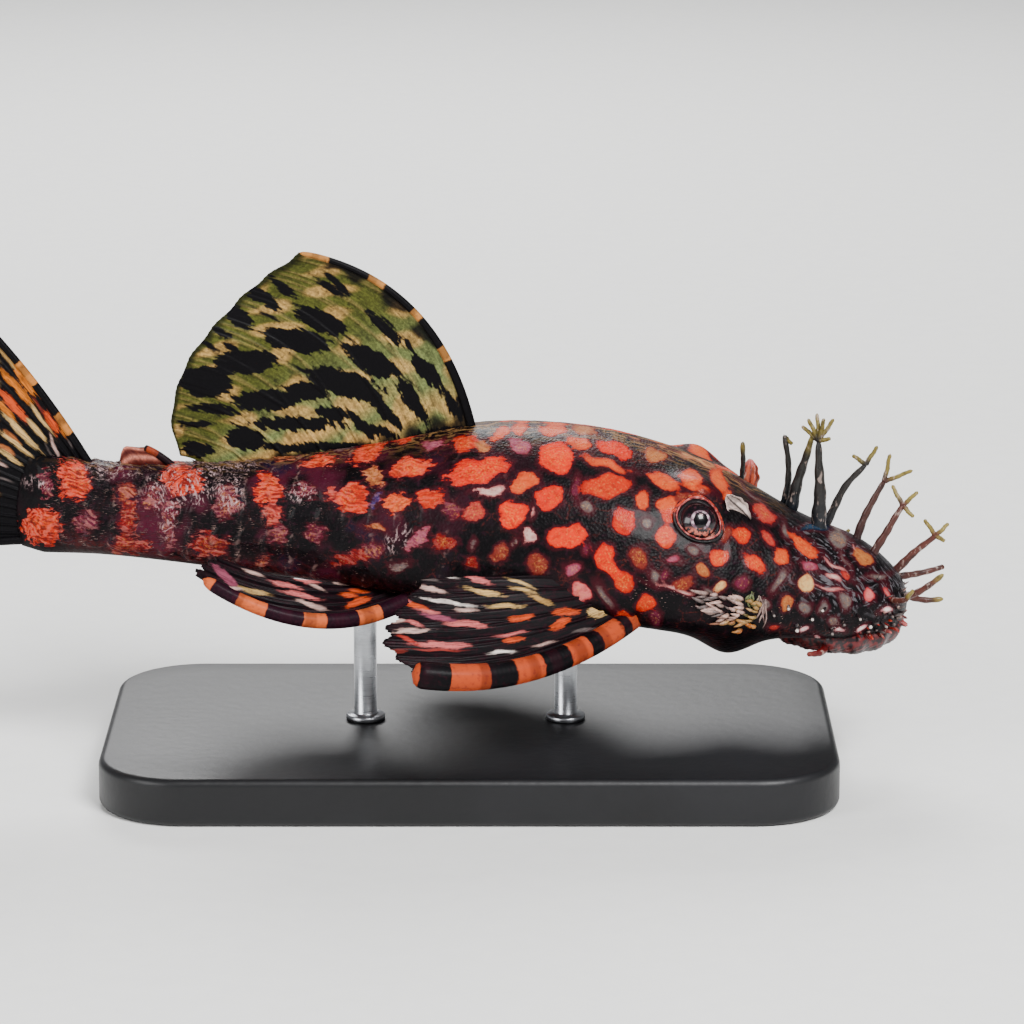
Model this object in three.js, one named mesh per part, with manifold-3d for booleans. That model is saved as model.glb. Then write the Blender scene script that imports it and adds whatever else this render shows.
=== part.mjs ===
// A male bristlenose pleco, a suckermouth armoured catfish, as a life-size model on a display
// stand: plated body parted into snout, head, trunk and tail, branched bristles on the snout,
// hooked cheek spines, a sucker mouth, eyes, and eight rayed fins.
// Millimetres, +Z up, head towards +X, the fish's right flank towards -Y.
// The origin is the centre of the stand's underside.
import * as THREE from "three";
import { mergeVertices } from "three/addons/utils/BufferGeometryUtils.js";
import Module from "manifold-3d";

const wasm = await Module();
wasm.setup();

// Driving sizes
const STANDARD_LENGTH = 90; // snout tip to the root of the tail fin
const SNOUT_X = 45.5; // snout tip ahead of the stand's centre, along the fish's own axis
const PITCH = THREE.MathUtils.degToRad(6); // head-down lean of the whole fish
const BELLY_HEIGHT = 19; // belly line above the floor, over the stand's centre
const GAP = 0.3; // clearance between touching solids

const vec = (x, y, z) => new THREE.Vector3(x, y, z);

// Body form. Each station: distance back from the snout tip, height of the widest line above
// the belly line, rise from there to the back, drop from there to the belly, half the width.
const STATIONS = [
  { back: 0, girth: 3.5, rise: 0, drop: 0, half: 0 },
  { back: 2, girth: 3.4, rise: 3.8, drop: 2.8, half: 5.3 },
  { back: 6, girth: 3.4, rise: 6.3, drop: 3.3, half: 8.3 },
  { back: 12, girth: 3.8, rise: 7.7, drop: 3.8, half: 10.6 },
  { back: 17.5, girth: 4.1, rise: 9.9, drop: 4.4, half: 11.9 },
  { back: 23, girth: 4.4, rise: 11.9, drop: 4.8, half: 12.8 },
  { back: 31, girth: 4.7, rise: 13.4, drop: 4.7, half: 13.3 },
  { back: 38, girth: 4.8, rise: 13.7, drop: 4.8, half: 12.5 },
  { back: 46, girth: 5.0, rise: 12.8, drop: 5.0, half: 10.9 },
  { back: 55, girth: 5.2, rise: 10.0, drop: 5.2, half: 8.6 },
  { back: 65, girth: 5.2, rise: 7.3, drop: 5.1, half: 6.2 },
  { back: 76, girth: 5.1, rise: 5.3, drop: 4.9, half: 4.2 },
  { back: 84, girth: 4.9, rise: 4.7, drop: 4.8, half: 3.2 },
  { back: 90, girth: 4.8, rise: 5.1, drop: 5.2, half: 2.4 },
];
const BACK_ROUNDNESS = 2.1; // exponent of the section above the widest line
const BELLY_FLATNESS = 3.2; // and below it, where the belly is flat

// A cubic through the stations. Squared sizes are joined, so the snout closes round.
function along(key, back) {
  const power = key === "girth" ? 1 : 2;
  const value = (i) => STATIONS[i][key] ** power;
  const last = STATIONS.length - 1;
  const slope = (i) => {
    const a = Math.max(i - 1, 0);
    const b = Math.min(i + 1, last);
    return (value(b) - value(a)) / (STATIONS[b].back - STATIONS[a].back);
  };
  const found = STATIONS.findIndex((s) => s.back >= back);
  const i = Math.min(Math.max((found < 0 ? last : found) - 1, 0), last - 1);
  const width = STATIONS[i + 1].back - STATIONS[i].back;
  const t = (back - STATIONS[i].back) / width;
  const cubic =
    value(i) * (1 + 2 * t) * (1 - t) ** 2 +
    slope(i) * width * t * (1 - t) ** 2 +
    value(i + 1) * t * t * (3 - 2 * t) +
    slope(i + 1) * width * t * t * (t - 1);
  return Math.max(cubic, 0) ** (1 / power);
}

// Half of a section from mid-back (t 0) over the flank to mid-belly (t 1), even in length.
// Gives the place across and up, and the outward direction there.
const SECTION_STEPS = 72;
function sectionAt(back) {
  const girth = along("girth", back);
  const rise = along("rise", back);
  const drop = along("drop", back);
  const half = along("half", back);
  const points = [];
  for (let i = 0; i <= SECTION_STEPS; i++) {
    const turn = Math.PI / 2 - (Math.PI * i) / SECTION_STEPS;
    const power = 2 / (turn > 0 ? BACK_ROUNDNESS : BELLY_FLATNESS);
    const across = half * Math.abs(Math.cos(turn)) ** power;
    const up = Math.abs(Math.sin(turn)) ** power;
    points.push([across, girth + (turn > 0 ? rise * up : -drop * up)]);
  }
  const lengths = [0];
  for (let i = 1; i < points.length; i++) {
    const step = Math.hypot(points[i][0] - points[i - 1][0], points[i][1] - points[i - 1][1]);
    lengths.push(lengths[i - 1] + step);
  }
  return (t) => {
    const wanted = t * lengths[SECTION_STEPS];
    let i = 1;
    while (i < SECTION_STEPS && lengths[i] < wanted) i++;
    const [a, b] = [points[i - 1], points[i]];
    const share = (wanted - lengths[i - 1]) / (lengths[i] - lengths[i - 1] || 1);
    const run = [b[0] - a[0], b[1] - a[1]];
    const size = Math.hypot(...run) || 1;
    const onAxis = t <= 0 || t >= 1;
    const outward = onAxis ? [0, t <= 0 ? 1 : -1] : [-run[1] / size, run[0] / size];
    return { across: a[0] + run[0] * share, up: a[1] + run[1] * share, outward };
  };
}

// Bony plates: five rows a side between mid-back and belly, each plate lying over the next.
const PLATES_FROM = 30;
const PLATES_TO = 88.4;
const PLATE_COLUMNS = 22;
const PLATE_LENGTH = (PLATES_TO - PLATES_FROM) / PLATE_COLUMNS;
const PLATE_ROWS = [0, 0.17, 0.34, 0.5, 0.64, 0.76];
const PLATE_LIFT = 0.32; // height of a plate's rear edge over the next plate
const ROW_CROWN = 0.16; // rise of a row's middle over the grooves between rows
const PLATE_BOW = 0.42; // how far a plate's rear edge bows back
const STEP_LENGTH = 0.16; // length of the step down between plates

function rowPhase(t) {
  const row = PLATE_ROWS.findIndex((edge, i) => i && t < edge) - 1;
  if (row < 0 || t < 0) return null;
  return (t - PLATE_ROWS[row]) / (PLATE_ROWS[row + 1] - PLATE_ROWS[row]);
}

// Swellings on the smooth head: eye ridges, cheeks, gill covers and the bony nape.
const EYE_BACK = 23.3;
const EYE_T = 0.32;
const SWELLINGS = [
  { back: EYE_BACK - 0.3, t: EYE_T - 0.095, lift: 1.9, length: 3, spread: 0.07 },
  { back: 18.6, t: 0.22, lift: 0.4, length: 1.7, spread: 0.06 },
  { back: 26.5, t: 0.56, lift: 0.5, length: 4, spread: 0.09 },
  { back: 18.5, t: 0.56, lift: 0.4, length: 4.5, spread: 0.1 },
  { back: 18.6, t: 0.79, lift: 1.9, length: 3.2, spread: 0.11 },
];
const swelling = (back, t) =>
  SWELLINGS.reduce((sum, s) => {
    const far = ((back - s.back) / s.length) ** 2 + ((t - s.t) / s.spread) ** 2;
    return sum + s.lift * Math.exp(-far);
  }, 0);

// A point of the skin, in the fish's own frame: side is 1 on its left flank and -1 on its right.
function skinPoint(section, back, t, side, lift) {
  const place = section(t);
  const out = lift + swelling(back, t);
  return vec(
    SNOUT_X - back,
    side * Math.max(place.across + place.outward[0] * out, 0),
    place.up + place.outward[1] * out,
  );
}

// Triangles of rings that share a point count, closed by a point or a flat fan at each end.
function tubeOf(rings) {
  const positions = [];
  const index = [];
  const count = rings[0].length;
  rings.forEach((ring) => ring.forEach((p) => positions.push(p.x, p.y, p.z)));
  for (let r = 0; r < rings.length - 1; r++) {
    for (let i = 0; i < count; i++) {
      const a = r * count + i;
      const b = r * count + ((i + 1) % count);
      index.push(a, b, a + count, b, b + count, a + count);
    }
  }
  for (const [ring, base, flip] of [
    [rings[0], 0, true],
    [rings.at(-1), (rings.length - 1) * count, false],
  ]) {
    const middle = ring.reduce((sum, p) => sum.add(p), vec(0, 0, 0)).divideScalar(count);
    const tip = positions.length / 3;
    positions.push(middle.x, middle.y, middle.z);
    for (let i = 0; i < count; i++) {
      const [a, b] = [base + i, base + ((i + 1) % count)];
      index.push(...(flip ? [b, a, tip] : [a, b, tip]));
    }
  }
  const geometry = new THREE.BufferGeometry();
  geometry.setAttribute("position", new THREE.Float32BufferAttribute(positions, 3));
  geometry.setIndex(index);
  return geometry;
}

// A closed geometry as a solid, turned right way out, and a solid as a geometry.
function solidOf(geometry) {
  const bare = geometry.clone();
  bare.deleteAttribute("normal");
  bare.deleteAttribute("uv");
  const merged = mergeVertices(bare, 1e-4);
  const triVerts = new Uint32Array(merged.index.array);
  const make = () =>
    new wasm.Manifold(
      new wasm.Mesh({ numProp: 3, vertProperties: merged.attributes.position.array, triVerts }),
    );
  const solid = make();
  if (solid.volume() > 0) return solid;
  for (let i = 0; i < triVerts.length; i += 3) {
    [triVerts[i + 1], triVerts[i + 2]] = [triVerts[i + 2], triVerts[i + 1]];
  }
  return make();
}

const SLACK = 0.045; // how far a face may move when near-flat triangles are merged
function geometryOf(solid) {
  const mesh = solid.simplify(SLACK).getMesh();
  const positions = new Float32Array(mesh.numVert * 3);
  for (let i = 0; i < mesh.numVert; i++) {
    positions.set(mesh.vertProperties.subarray(i * mesh.numProp, i * mesh.numProp + 3), i * 3);
  }
  const geometry = new THREE.BufferGeometry();
  geometry.setAttribute("position", new THREE.BufferAttribute(positions, 3));
  geometry.setIndex(new THREE.BufferAttribute(mesh.triVerts, 1));
  geometry.computeVertexNormals();
  return geometry;
}

const largest = (solid) =>
  solid.decompose().reduce((a, b) => (b.volume() > a.volume() ? b : a));
const joined = (solids) => largest(solids.reduce((a, b) => a.add(b)));
const cutFrom = (solid, ...cutters) => largest(cutters.reduce((a, b) => a.subtract(b), solid));

// The body's skin as one closed tube with the plates' relief. Swollen, it is the clearance form
// that the fins and lips are cut back by.
const HEAD_RINGS = [
  0.08, 0.4, 1, 1.9, 3.1, 4.7, 6.6, 8.8, 11, 13.1, 15, 16.7, 18.3, 19.9, 21.5, 23.1, 24.8, 26.6,
  28.4,
];
const FLANK_STEPS = [];
PLATE_ROWS.slice(0, -1).forEach((edge, row) => {
  for (const phase of [0, 0.32, 0.68]) {
    FLANK_STEPS.push(edge + phase * (PLATE_ROWS[row + 1] - edge));
  }
});
FLANK_STEPS.push(PLATE_ROWS.at(-1), 0.82, 0.88, 0.94);

function bodyRing(back, relief) {
  const { plates, swell, rearEdge } = relief;
  const point = (t, side) => {
    const phase = plates ? rowPhase(t) : null;
    let lift = swell;
    let place = back;
    if (phase !== null) {
      lift += ROW_CROWN * (Math.sin(Math.PI * phase) - 0.5) + (rearEdge ? PLATE_LIFT : 0);
      place += PLATE_BOW * Math.sin(Math.PI * phase);
    }
    return skinPoint(sectionAt(place), place, t, side, lift);
  };
  const right = FLANK_STEPS.map((t) => point(t, -1));
  const left = FLANK_STEPS.slice(1).map((t) => point(t, 1));
  return [...right, point(1, 1), ...left.reverse()];
}

function bodySolid(swell = 0) {
  const rings = HEAD_RINGS.map((back) => bodyRing(back, { plates: false, swell }));
  for (let column = 0; column < PLATE_COLUMNS; column++) {
    const front = PLATES_FROM + column * PLATE_LENGTH;
    rings.push(bodyRing(front, { plates: true, swell, rearEdge: false }));
    rings.push(bodyRing(front + PLATE_LENGTH - STEP_LENGTH, { plates: true, swell, rearEdge: true }));
  }
  rings.push(bodyRing(PLATES_TO, { plates: true, swell, rearEdge: false }));
  rings.push(bodyRing(STANDARD_LENGTH, { plates: false, swell }));
  return solidOf(tubeOf(rings));
}

// A point on the skin by its distance back and flank share, lifted or sunk along its normal.
const onSkin = (back, t, side, lift = 0) => skinPoint(sectionAt(back), back, t, side, lift);

// Outward direction of the skin, from two short steps along it.
function skinNormal(back, t, side) {
  const step = 0.05;
  const lengthways = onSkin(back + step, t, side).sub(onSkin(back - step, t, side));
  const down = onSkin(back, t + step / 5, side).sub(onSkin(back, t - step / 5, side));
  return down.cross(lengthways).multiplyScalar(side).normalize();
}

// A round tapered rod along a curve, from a root radius to a blunt tip.
function taperedRod(curve, rootRadius, tipRadius, sides, steps) {
  const frames = curve.computeFrenetFrames(steps, false);
  const rings = [];
  for (let i = 0; i <= steps; i++) {
    const share = i / steps;
    const middle = curve.getPointAt(share);
    const radius = rootRadius + (tipRadius - rootRadius) * share;
    rings.push(
      Array.from({ length: sides }, (_, k) => {
        const turn = (2 * Math.PI * k) / sides;
        return middle
          .clone()
          .addScaledVector(frames.normals[i], radius * Math.cos(turn))
          .addScaledVector(frames.binormals[i], radius * Math.sin(turn));
      }),
    );
  }
  return solidOf(tubeOf(rings));
}

// A repeatable stream of draws from 0 to 1.
function drawsFrom(seed) {
  let state = seed;
  return () => {
    state = (state * 16807) % 2147483647;
    return state / 2147483647;
  };
}

// Branched bristles of the snout and one beside the left nostril: the joints of each stem from
// its sunk root to its head, then the tips of the short branches that leave the head.
const BRISTLES = [
  { stem: [[27.3, 4.8, 12.2], [27.0, 4.6, 15.6], [26.5, 4.2, 18.7]], tips: [], root: 0.36 },
  { stem: [[31.6, 3.0, 11.2], [31.9, 3.2, 15.2], [30.9, 3.6, 19.2]], tips: [[31.9, 3.7, 18.2]], root: 0.4 },
  { stem: [[32.3, 1.6, 10.8], [32.8, 1.2, 15.0], [33.6, 0.2, 20.2]], tips: [], root: 0.62 },
  {
    stem: [[35.4, -0.8, 9.4], [34.9, -0.6, 15.0], [34.2, -0.3, 20.0]],
    tips: [
      [32.4, 0.9, 20.9],
      [32.9, 0.2, 21.9],
      [33.8, 0.5, 22.5],
      [34.5, -0.7, 22.3],
      [35.5, -0.9, 22.4],
      [35.4, -1.1, 20.3],
    ],
    root: 0.72,
  },
  { stem: [[35.8, 1.2, 9.2], [37.5, 1.6, 14.2], [39.8, 2.2, 17.4]], tips: [[38.1, 2.0, 18.1], [40.7, 2.7, 19.2]] },
  { stem: [[39.2, 0.4, 8.4], [40.3, 0.5, 12.8], [41.7, 0.5, 16.2]], tips: [[41.9, 0.6, 19.0], [44.4, 0.0, 17.6]] },
  {
    stem: [[40.9, -1.0, 7.6], [42.4, -1.0, 11.2], [43.8, -1.0, 14.2]],
    tips: [[45.1, -0.8, 15.6], [42.4, 0.1, 15.8], [44.9, -1.7, 13.0]],
  },
  {
    stem: [[43.2, 0.3, 5.8], [45.4, 0.3, 8.5], [47.8, 0.3, 11.0]],
    tips: [[46.2, 0.1, 12.5], [48.9, 0.7, 12.2], [48.6, -0.4, 10.5]],
  },
  { stem: [[43.9, -0.8, 3.9], [46.5, -0.8, 4.9], [48.9, -0.8, 7.1]], tips: [], root: 0.44 },
  { stem: [[43.8, 2.0, 4.1], [47.2, 2.3, 3.3], [49.6, 2.4, 3.6]], tips: [], root: 0.4 },
  { stem: [[43.0, 3.0, 5.0], [46.8, 4.2, 5.6], [49.5, 5.2, 6.4]], tips: [[49.4, 6.2, 6.0]], root: 0.44 },
  { stem: [[42.0, -3.4, 4.8], [43.6, -5.4, 4.9], [44.8, -6.8, 5.5]], tips: [[45.2, -7.2, 6.7]], root: 0.4 },
  { stem: [[36.6, 5.4, 6.2], [37.6, 7.8, 7.0], [38.8, 9.6, 7.4]], tips: [[39.6, 10.0, 8.2]], root: 0.44 },
];
const BRISTLE_ROOT = 0.52;
const BRISTLE_TIP = 0.3;

function bristleSolids({ stem, tips, root = BRISTLE_ROOT }) {
  const curve = new THREE.CatmullRomCurve3(stem.map((joint) => vec(...joint)));
  const head = curve.getPoint(1);
  const branches = tips.map((tip) => {
    return taperedRod(new THREE.LineCurve3(head, vec(...tip)), BRISTLE_TIP, BRISTLE_TIP * 0.8, 5, 1);
  });
  return [taperedRod(curve, root, BRISTLE_TIP, 6, 4), ...branches];
}

// Short simple bristles in a row along each edge of the snout.
const EDGE_BRISTLES = 5;
function edgeBristles(side) {
  return Array.from({ length: EDGE_BRISTLES }, (_, i) => {
    const back = 1.5 + 2.1 * i;
    const t = 0.47 + 0.006 * i;
    const root = onSkin(back, t, side);
    const way = skinNormal(back, t, side).add(vec(0.5, 0, 0)).normalize();
    const length = 1.9 + 0.5 * (i % 2) - 0.08 * i;
    const curve = new THREE.CatmullRomCurve3([
      root.clone().addScaledVector(way, -0.7),
      root.clone().addScaledVector(way, length * 0.5),
      root.clone().addScaledVector(way, length).add(vec(0.2, 0, 0.4)),
    ]);
    return taperedRod(curve, 0.34, 0.22, 4, 2);
  });
}

// Hooked spines that fan back from each cheek, below and behind the eye.
const CHEEK_SPINES = 13;
const CHEEK_BACK = 16.6;
const CHEEK_T = 0.52;
function cheekSpines(side, draw) {
  const solids = [];
  for (let i = 0; i < CHEEK_SPINES; i++) {
    const column = i % 5;
    const row = Math.floor(i / 5);
    const back = CHEEK_BACK + 1.15 * column + 0.4 * draw();
    const t = CHEEK_T + 0.045 * row + 0.012 * draw();
    const root = onSkin(back, t, side);
    const length = 1.7 + 0.4 * column + 0.5 * draw();
    const way = vec(-1, side * (0.5 - 0.1 * row), 0.02 - 0.16 * row).normalize();
    const hook = vec(0, side * 0.1, -0.5).multiplyScalar(length * 0.18);
    const curve = new THREE.CatmullRomCurve3([
      root.clone().addScaledVector(skinNormal(back, t, side), -0.5),
      root.clone().addScaledVector(way, length * 0.5).addScaledVector(skinNormal(back, t, side), 0.25),
      root.clone().addScaledVector(way, length).add(hook),
    ]);
    solids.push(taperedRod(curve, 0.34, 0.14, 4, 2));
  }
  return solids;
}

// Eyes: balls sunk in sockets, low domes over the orbit.
const EYE_RADIUS = 2.35;
const EYE_SINK = 1.25;
const eyeMiddle = (side) =>
  onSkin(EYE_BACK, EYE_T, side).addScaledVector(skinNormal(EYE_BACK, EYE_T, side), -EYE_SINK);
function ball(radius, middle, wide, high) {
  const geometry = new THREE.SphereGeometry(radius, wide, high);
  geometry.translate(middle.x, middle.y, middle.z);
  return geometry;
}

// A nostril ahead of each eye: a pit with a raised flap behind it.
const NOSTRIL_BACK = 17.5;
const NOSTRIL_T = 0.2;
const nostrilPit = (side) => solidOf(ball(0.75, onSkin(NOSTRIL_BACK, NOSTRIL_T, side, 0.3), 8, 6));
function nostrilFlap(side) {
  const foot = onSkin(NOSTRIL_BACK + 0.9, NOSTRIL_T, side, 0);
  const out = skinNormal(NOSTRIL_BACK, NOSTRIL_T, side);
  const curve = new THREE.CatmullRomCurve3([
    foot.clone().addScaledVector(out, -0.6),
    foot.clone().addScaledVector(out, 0.7),
    foot.clone().addScaledVector(out, 1.7).add(vec(0.3, 0, 0.3)),
  ]);
  return taperedRod(curve, 0.8, 0.4, 6, 3);
}

// Gill slit: a thin curved cut behind each gill cover.
function gillSlit(side) {
  const points = [0.62, 0.68, 0.74, 0.8].map((t, i) => onSkin(28.6 + 0.5 * Math.sin(i), t, side, 0.1));
  return taperedRod(new THREE.CatmullRomCurve3(points), 0.42, 0.3, 6, 6);
}

// Sucker mouth: a lobed disc of lips under the snout, hollow below, with a barbel each side.
const MOUTH_X = 38.2;
const MOUTH_LONG = 7.0;
const MOUTH_HALF = 7.7;
function mouthSolid(clearance) {
  const lobes = 15;
  const count = lobes * 2;
  const levels = [
    { height: 1.5, share: 0.92 },
    { height: 0.3, share: 1.0 },
    { height: -0.6, share: 0.98 },
    { height: -1.3, share: 0.88 },
    { height: -1.4, share: 0.7 },
    { height: -1.05, share: 0.5 },
  ];
  const rings = levels.map(({ height, share }) =>
    Array.from({ length: count }, (_, k) => {
      const turn = (2 * Math.PI * k) / count;
      const lobe = 1 + (share > 0.8 ? 0.03 * (k % 2 ? 1 : -1) : 0);
      const forward = Math.cos(turn);
      const lift = 0.35 * Math.sin(turn) ** 2;
      return vec(
        MOUTH_X + MOUTH_LONG * share * lobe * forward,
        MOUTH_HALF * share * lobe * Math.sin(turn),
        height + lift + (forward > 0 ? 1.5 * (share * forward) ** 2 : 0),
      );
    }),
  );
  const slit = new THREE.SphereGeometry(1, 12, 8);
  slit.scale(0.9, 3.6, 0.35);
  slit.translate(MOUTH_X + 0.4, 0, -1.1);
  const barbels = [-1, 1].map((side) => {
    const root = vec(MOUTH_X - 1.2, side * (MOUTH_HALF - 0.9), -0.1);
    const curve = new THREE.CatmullRomCurve3([
      root,
      root.clone().add(vec(-0.6, side * 1.6, -0.5)),
      root.clone().add(vec(-2.1, side * 2.6, -0.6)),
    ]);
    return taperedRod(curve, 0.5, 0.25, 6, 4);
  });
  return cutFrom(joined([cutFrom(solidOf(tubeOf(rings)), solidOf(slit)), ...barbels]), clearance);
}

// A fin: rays are curves from root to tip, joined by a membrane and raised as ridges on both
// faces. Thickness thins from root to margin, and the membrane is drawn in between ray tips.
const FIN_STEPS = 6;
const RIDGE_ROOT = 0.46;
const RIDGE_TIP = 0.26;
const WEB_ROOT = 0.27;
const WEB_TIP = 0.22;
function finSolid(rays, { steps = FIN_STEPS, notch = 0.03, wave = () => vec(0, 0, 0) } = {}) {
  const offsets = [0, 0.24, 0.76];
  const columns = [];
  for (let k = 0; k < rays.length; k++) {
    for (const offset of k === rays.length - 1 ? [0] : offsets) columns.push(k + offset);
  }
  const middle = columns.map((u) => {
    const k = Math.min(Math.floor(u), rays.length - 1);
    const share = u - k;
    const drawnIn = 1 - notch * Math.sin(Math.PI * share);
    return Array.from({ length: steps + 1 }, (_, i) => {
      const v = (i / steps) * drawnIn;
      const point = rays[k].getPoint(v);
      if (share > 0) point.lerp(rays[k + 1].getPoint(v), share);
      return point.add(wave(u / (rays.length - 1), v));
    });
  });
  const across = columns.length;
  const faces = [[], []];
  middle.forEach((column, c) => {
    column.forEach((point, i) => {
      const beside = middle[Math.min(c + 1, across - 1)][i]
        .clone()
        .sub(middle[Math.max(c - 1, 0)][i]);
      const lengthways = column[Math.min(i + 1, steps)].clone().sub(column[Math.max(i - 1, 0)]);
      const normal = beside.cross(lengthways).normalize();
      const v = i / steps;
      const onRay = Number.isInteger(columns[c]);
      const half = onRay
        ? RIDGE_ROOT + (RIDGE_TIP - RIDGE_ROOT) * v
        : WEB_ROOT + (WEB_TIP - WEB_ROOT) * v;
      faces[0].push(point.clone().addScaledVector(normal, half));
      faces[1].push(point.clone().addScaledVector(normal, -half));
    });
  });
  const row = steps + 1;
  const size = across * row;
  const positions = [...faces[0], ...faces[1]].flatMap((p) => [p.x, p.y, p.z]);
  const index = [];
  for (let c = 0; c < across - 1; c++) {
    for (let i = 0; i < steps; i++) {
      const a = c * row + i;
      const b = a + row;
      index.push(a, b, a + 1, b, b + 1, a + 1);
      index.push(size + a, size + a + 1, size + b, size + b, size + a + 1, size + b + 1);
    }
  }
  const rim = [];
  for (let i = 0; i < steps; i++) rim.push(i);
  for (let c = 0; c < across - 1; c++) rim.push(c * row + steps);
  for (let i = steps; i > 0; i--) rim.push((across - 1) * row + i);
  for (let c = across - 1; c > 0; c--) rim.push(c * row);
  rim.forEach((a, i) => {
    const b = rim[(i + 1) % rim.length];
    index.push(a, b, size + a, b, size + b, size + a);
  });
  const geometry = new THREE.BufferGeometry();
  geometry.setAttribute("position", new THREE.Float32BufferAttribute(positions, 3));
  geometry.setIndex(index);
  return solidOf(geometry);
}

// A ray from root to tip that bows by the given offset at its middle.
const ray = (root, tip, bow = vec(0, 0, 0)) =>
  new THREE.QuadraticBezierCurve3(root, root.clone().lerp(tip, 0.5).addScaledVector(bow, 2), tip);

// Rays whose roots, tips and bows are spread along curves through a few points.
function fan(count, roots, tips, bows) {
  const [rootLine, tipLine] = [roots, tips].map((list) => new THREE.CatmullRomCurve3(list));
  return Array.from({ length: count }, (_, k) => {
    const share = k / (count - 1);
    const bow = bows[0].clone().lerp(bows[1], share);
    return ray(rootLine.getPointAt(share), tipLine.getPointAt(share), bow);
  });
}

// The stout first ray of a fin, as a rod round that ray.
const finSpine = (line, rootRadius, tipRadius, sides = 6, steps = 8) =>
  taperedRod(line, rootRadius, tipRadius, sides, steps);

// Dorsal fin: a spine and seven rays, raised, with its hind edge joined low to the back.
function dorsalFin(clearance) {
  const rays = fan(
    8,
    [vec(-1.3, 0, 16.2), vec(-9, 0, 13.2), vec(-17.5, 0, 10.6), vec(-26.4, 0, 8.9)],
    [vec(-21.2, 0, 33.8), vec(-26.6, 0, 28.6), vec(-31.4, 0, 21.8), vec(-32.7, 0, 15.2), vec(-31.4, 0, 11.0)],
    [vec(2.5, 0, 3.8), vec(0, 0, 0.6)],
  );
  const wave = (u, v) => vec(0, 0.9 * v * v * Math.sin(2.4 * Math.PI * u), 0);
  const web = finSolid(rays, { steps: 7, wave });
  return cutFrom(joined([web, finSpine(rays[0], 0.75, 0.38)]), clearance);
}

// Adipose fin: a short spine and flap on the back of the tail.
function adiposeFin(clearance) {
  const rays = [
    ray(vec(-31.0, 0, 9.2), vec(-35.2, 0, 11.7), vec(-0.2, 0, 0.4)),
    ray(vec(-34, 0, 8.6), vec(-37.3, 0, 11.5), vec(-0.1, 0, 0.3)),
    ray(vec(-36.6, 0, 8.2), vec(-37.6, 0, 10.2)),
  ];
  return cutFrom(joined([finSolid(rays, { steps: 4 }), finSpine(rays[0], 0.55, 0.4, 6, 4)]), clearance);
}

// Tail fin: sixteen rays, fully fanned, with the lower lobe the longer. Its first and last rays
// are spines that follow the web's waves.
function caudalFin(clearance) {
  const rays = fan(
    16,
    [vec(-40.2, 0, 8.6), vec(-42.8, 0, 7.2), vec(-43.8, 0, 4.6), vec(-43.8, 0, 2.4), vec(-43.0, 0, 1.0)],
    [vec(-61, 0, 29.2), vec(-64.6, 0, 18), vec(-67, 0, 5.6), vec(-71.2, 0, -6.4)],
    [vec(0.8, 0, 1.15), vec(-0.2, 0, 1.1)],
  );
  const wave = (u, v) => vec(0, 1.5 * v * v * Math.cos(2.6 * Math.PI * u), 0);
  const web = finSolid(rays, { notch: 0.05, wave });
  const spines = [0, 1].map((u) => {
    const { v0, v1, v2 } = rays[u * (rays.length - 1)];
    return finSpine(new THREE.QuadraticBezierCurve3(v0, v1, v2.clone().add(wave(u, 1))), 0.6, 0.34);
  });
  return cutFrom(joined([web, ...spines]), clearance);
}

// Anal fin: five short rays, folded back under the tail.
function analFin(clearance) {
  const rays = fan(
    5,
    [vec(-15.4, 0, 1.2), vec(-17.4, 0, 1.2), vec(-19.6, 0, 1.2)],
    [vec(-25.0, 0, -2.8), vec(-26.6, 0, -2.4), vec(-27.8, 0, -1.1)],
    [vec(0, 0, -0.6), vec(0, 0, -0.3)],
  );
  return cutFrom(finSolid(rays, { steps: 5 }), clearance);
}

// Paired fins, drawn for the right flank; side 1 mirrors them to the left.
const onSide = (side, x, out, up) => vec(x, side * out, up);

// Pectoral fin: a stout blunt spine and six rays, held out, back and down.
function pectoralFin(side, clearance) {
  const at = (x, out, up) => onSide(side, x, out, up);
  const rays = fan(
    7,
    [at(17.4, 10.6, 2.4), at(15.6, 10.6, 3.8), at(13.4, 10.4, 5.0)],
    [at(-5.4, 24, -2.8), at(-8.6, 21.4, -0.8), at(-8.0, 18.4, 1.2), at(-5.4, 14.6, 4.4)],
    [at(0.7, 2.6, -1.9), at(0, 0.9, 0.8)],
  );
  const web = finSolid(rays, { notch: 0.05 });
  return cutFrom(joined([web, finSpine(rays[0], 1.2, 1.45, 8, 8)]), clearance);
}

// Pelvic fin: a spine and five rays, spread flat beside the belly.
function pelvicFin(side, clearance) {
  const at = (x, out, up) => onSide(side, x, out, up);
  const rays = fan(
    6,
    [at(-5.6, 6.4, 0.6), at(-8, 5.4, 0.6), at(-10, 4.2, 0.6)],
    [at(-27.4, 13, 1.8), at(-28.4, 10.8, 2.0), at(-26.6, 6.8, 2.6)],
    [at(0.8, 3.0, -2.7), at(0, 2.0, -0.4)],
  );
  const web = finSolid(rays, { notch: 0.05 });
  return cutFrom(joined([web, finSpine(rays[0], 0.9, 0.7, 6, 7)]), clearance);
}

// Stand: a flat rounded base and two upright rods let into sockets in the belly.
const BASE_LONG = 76;
const BASE_WIDE = 44;
const BASE_HIGH = 5;
const BASE_CORNER = 9;
const BASE_BEVEL = 0.8;
const ROD_RADIUS = 1.2;
const ROD_SINK = 2.2;
const ROD_PLACES = { front: 10, rear: -11 };

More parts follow.
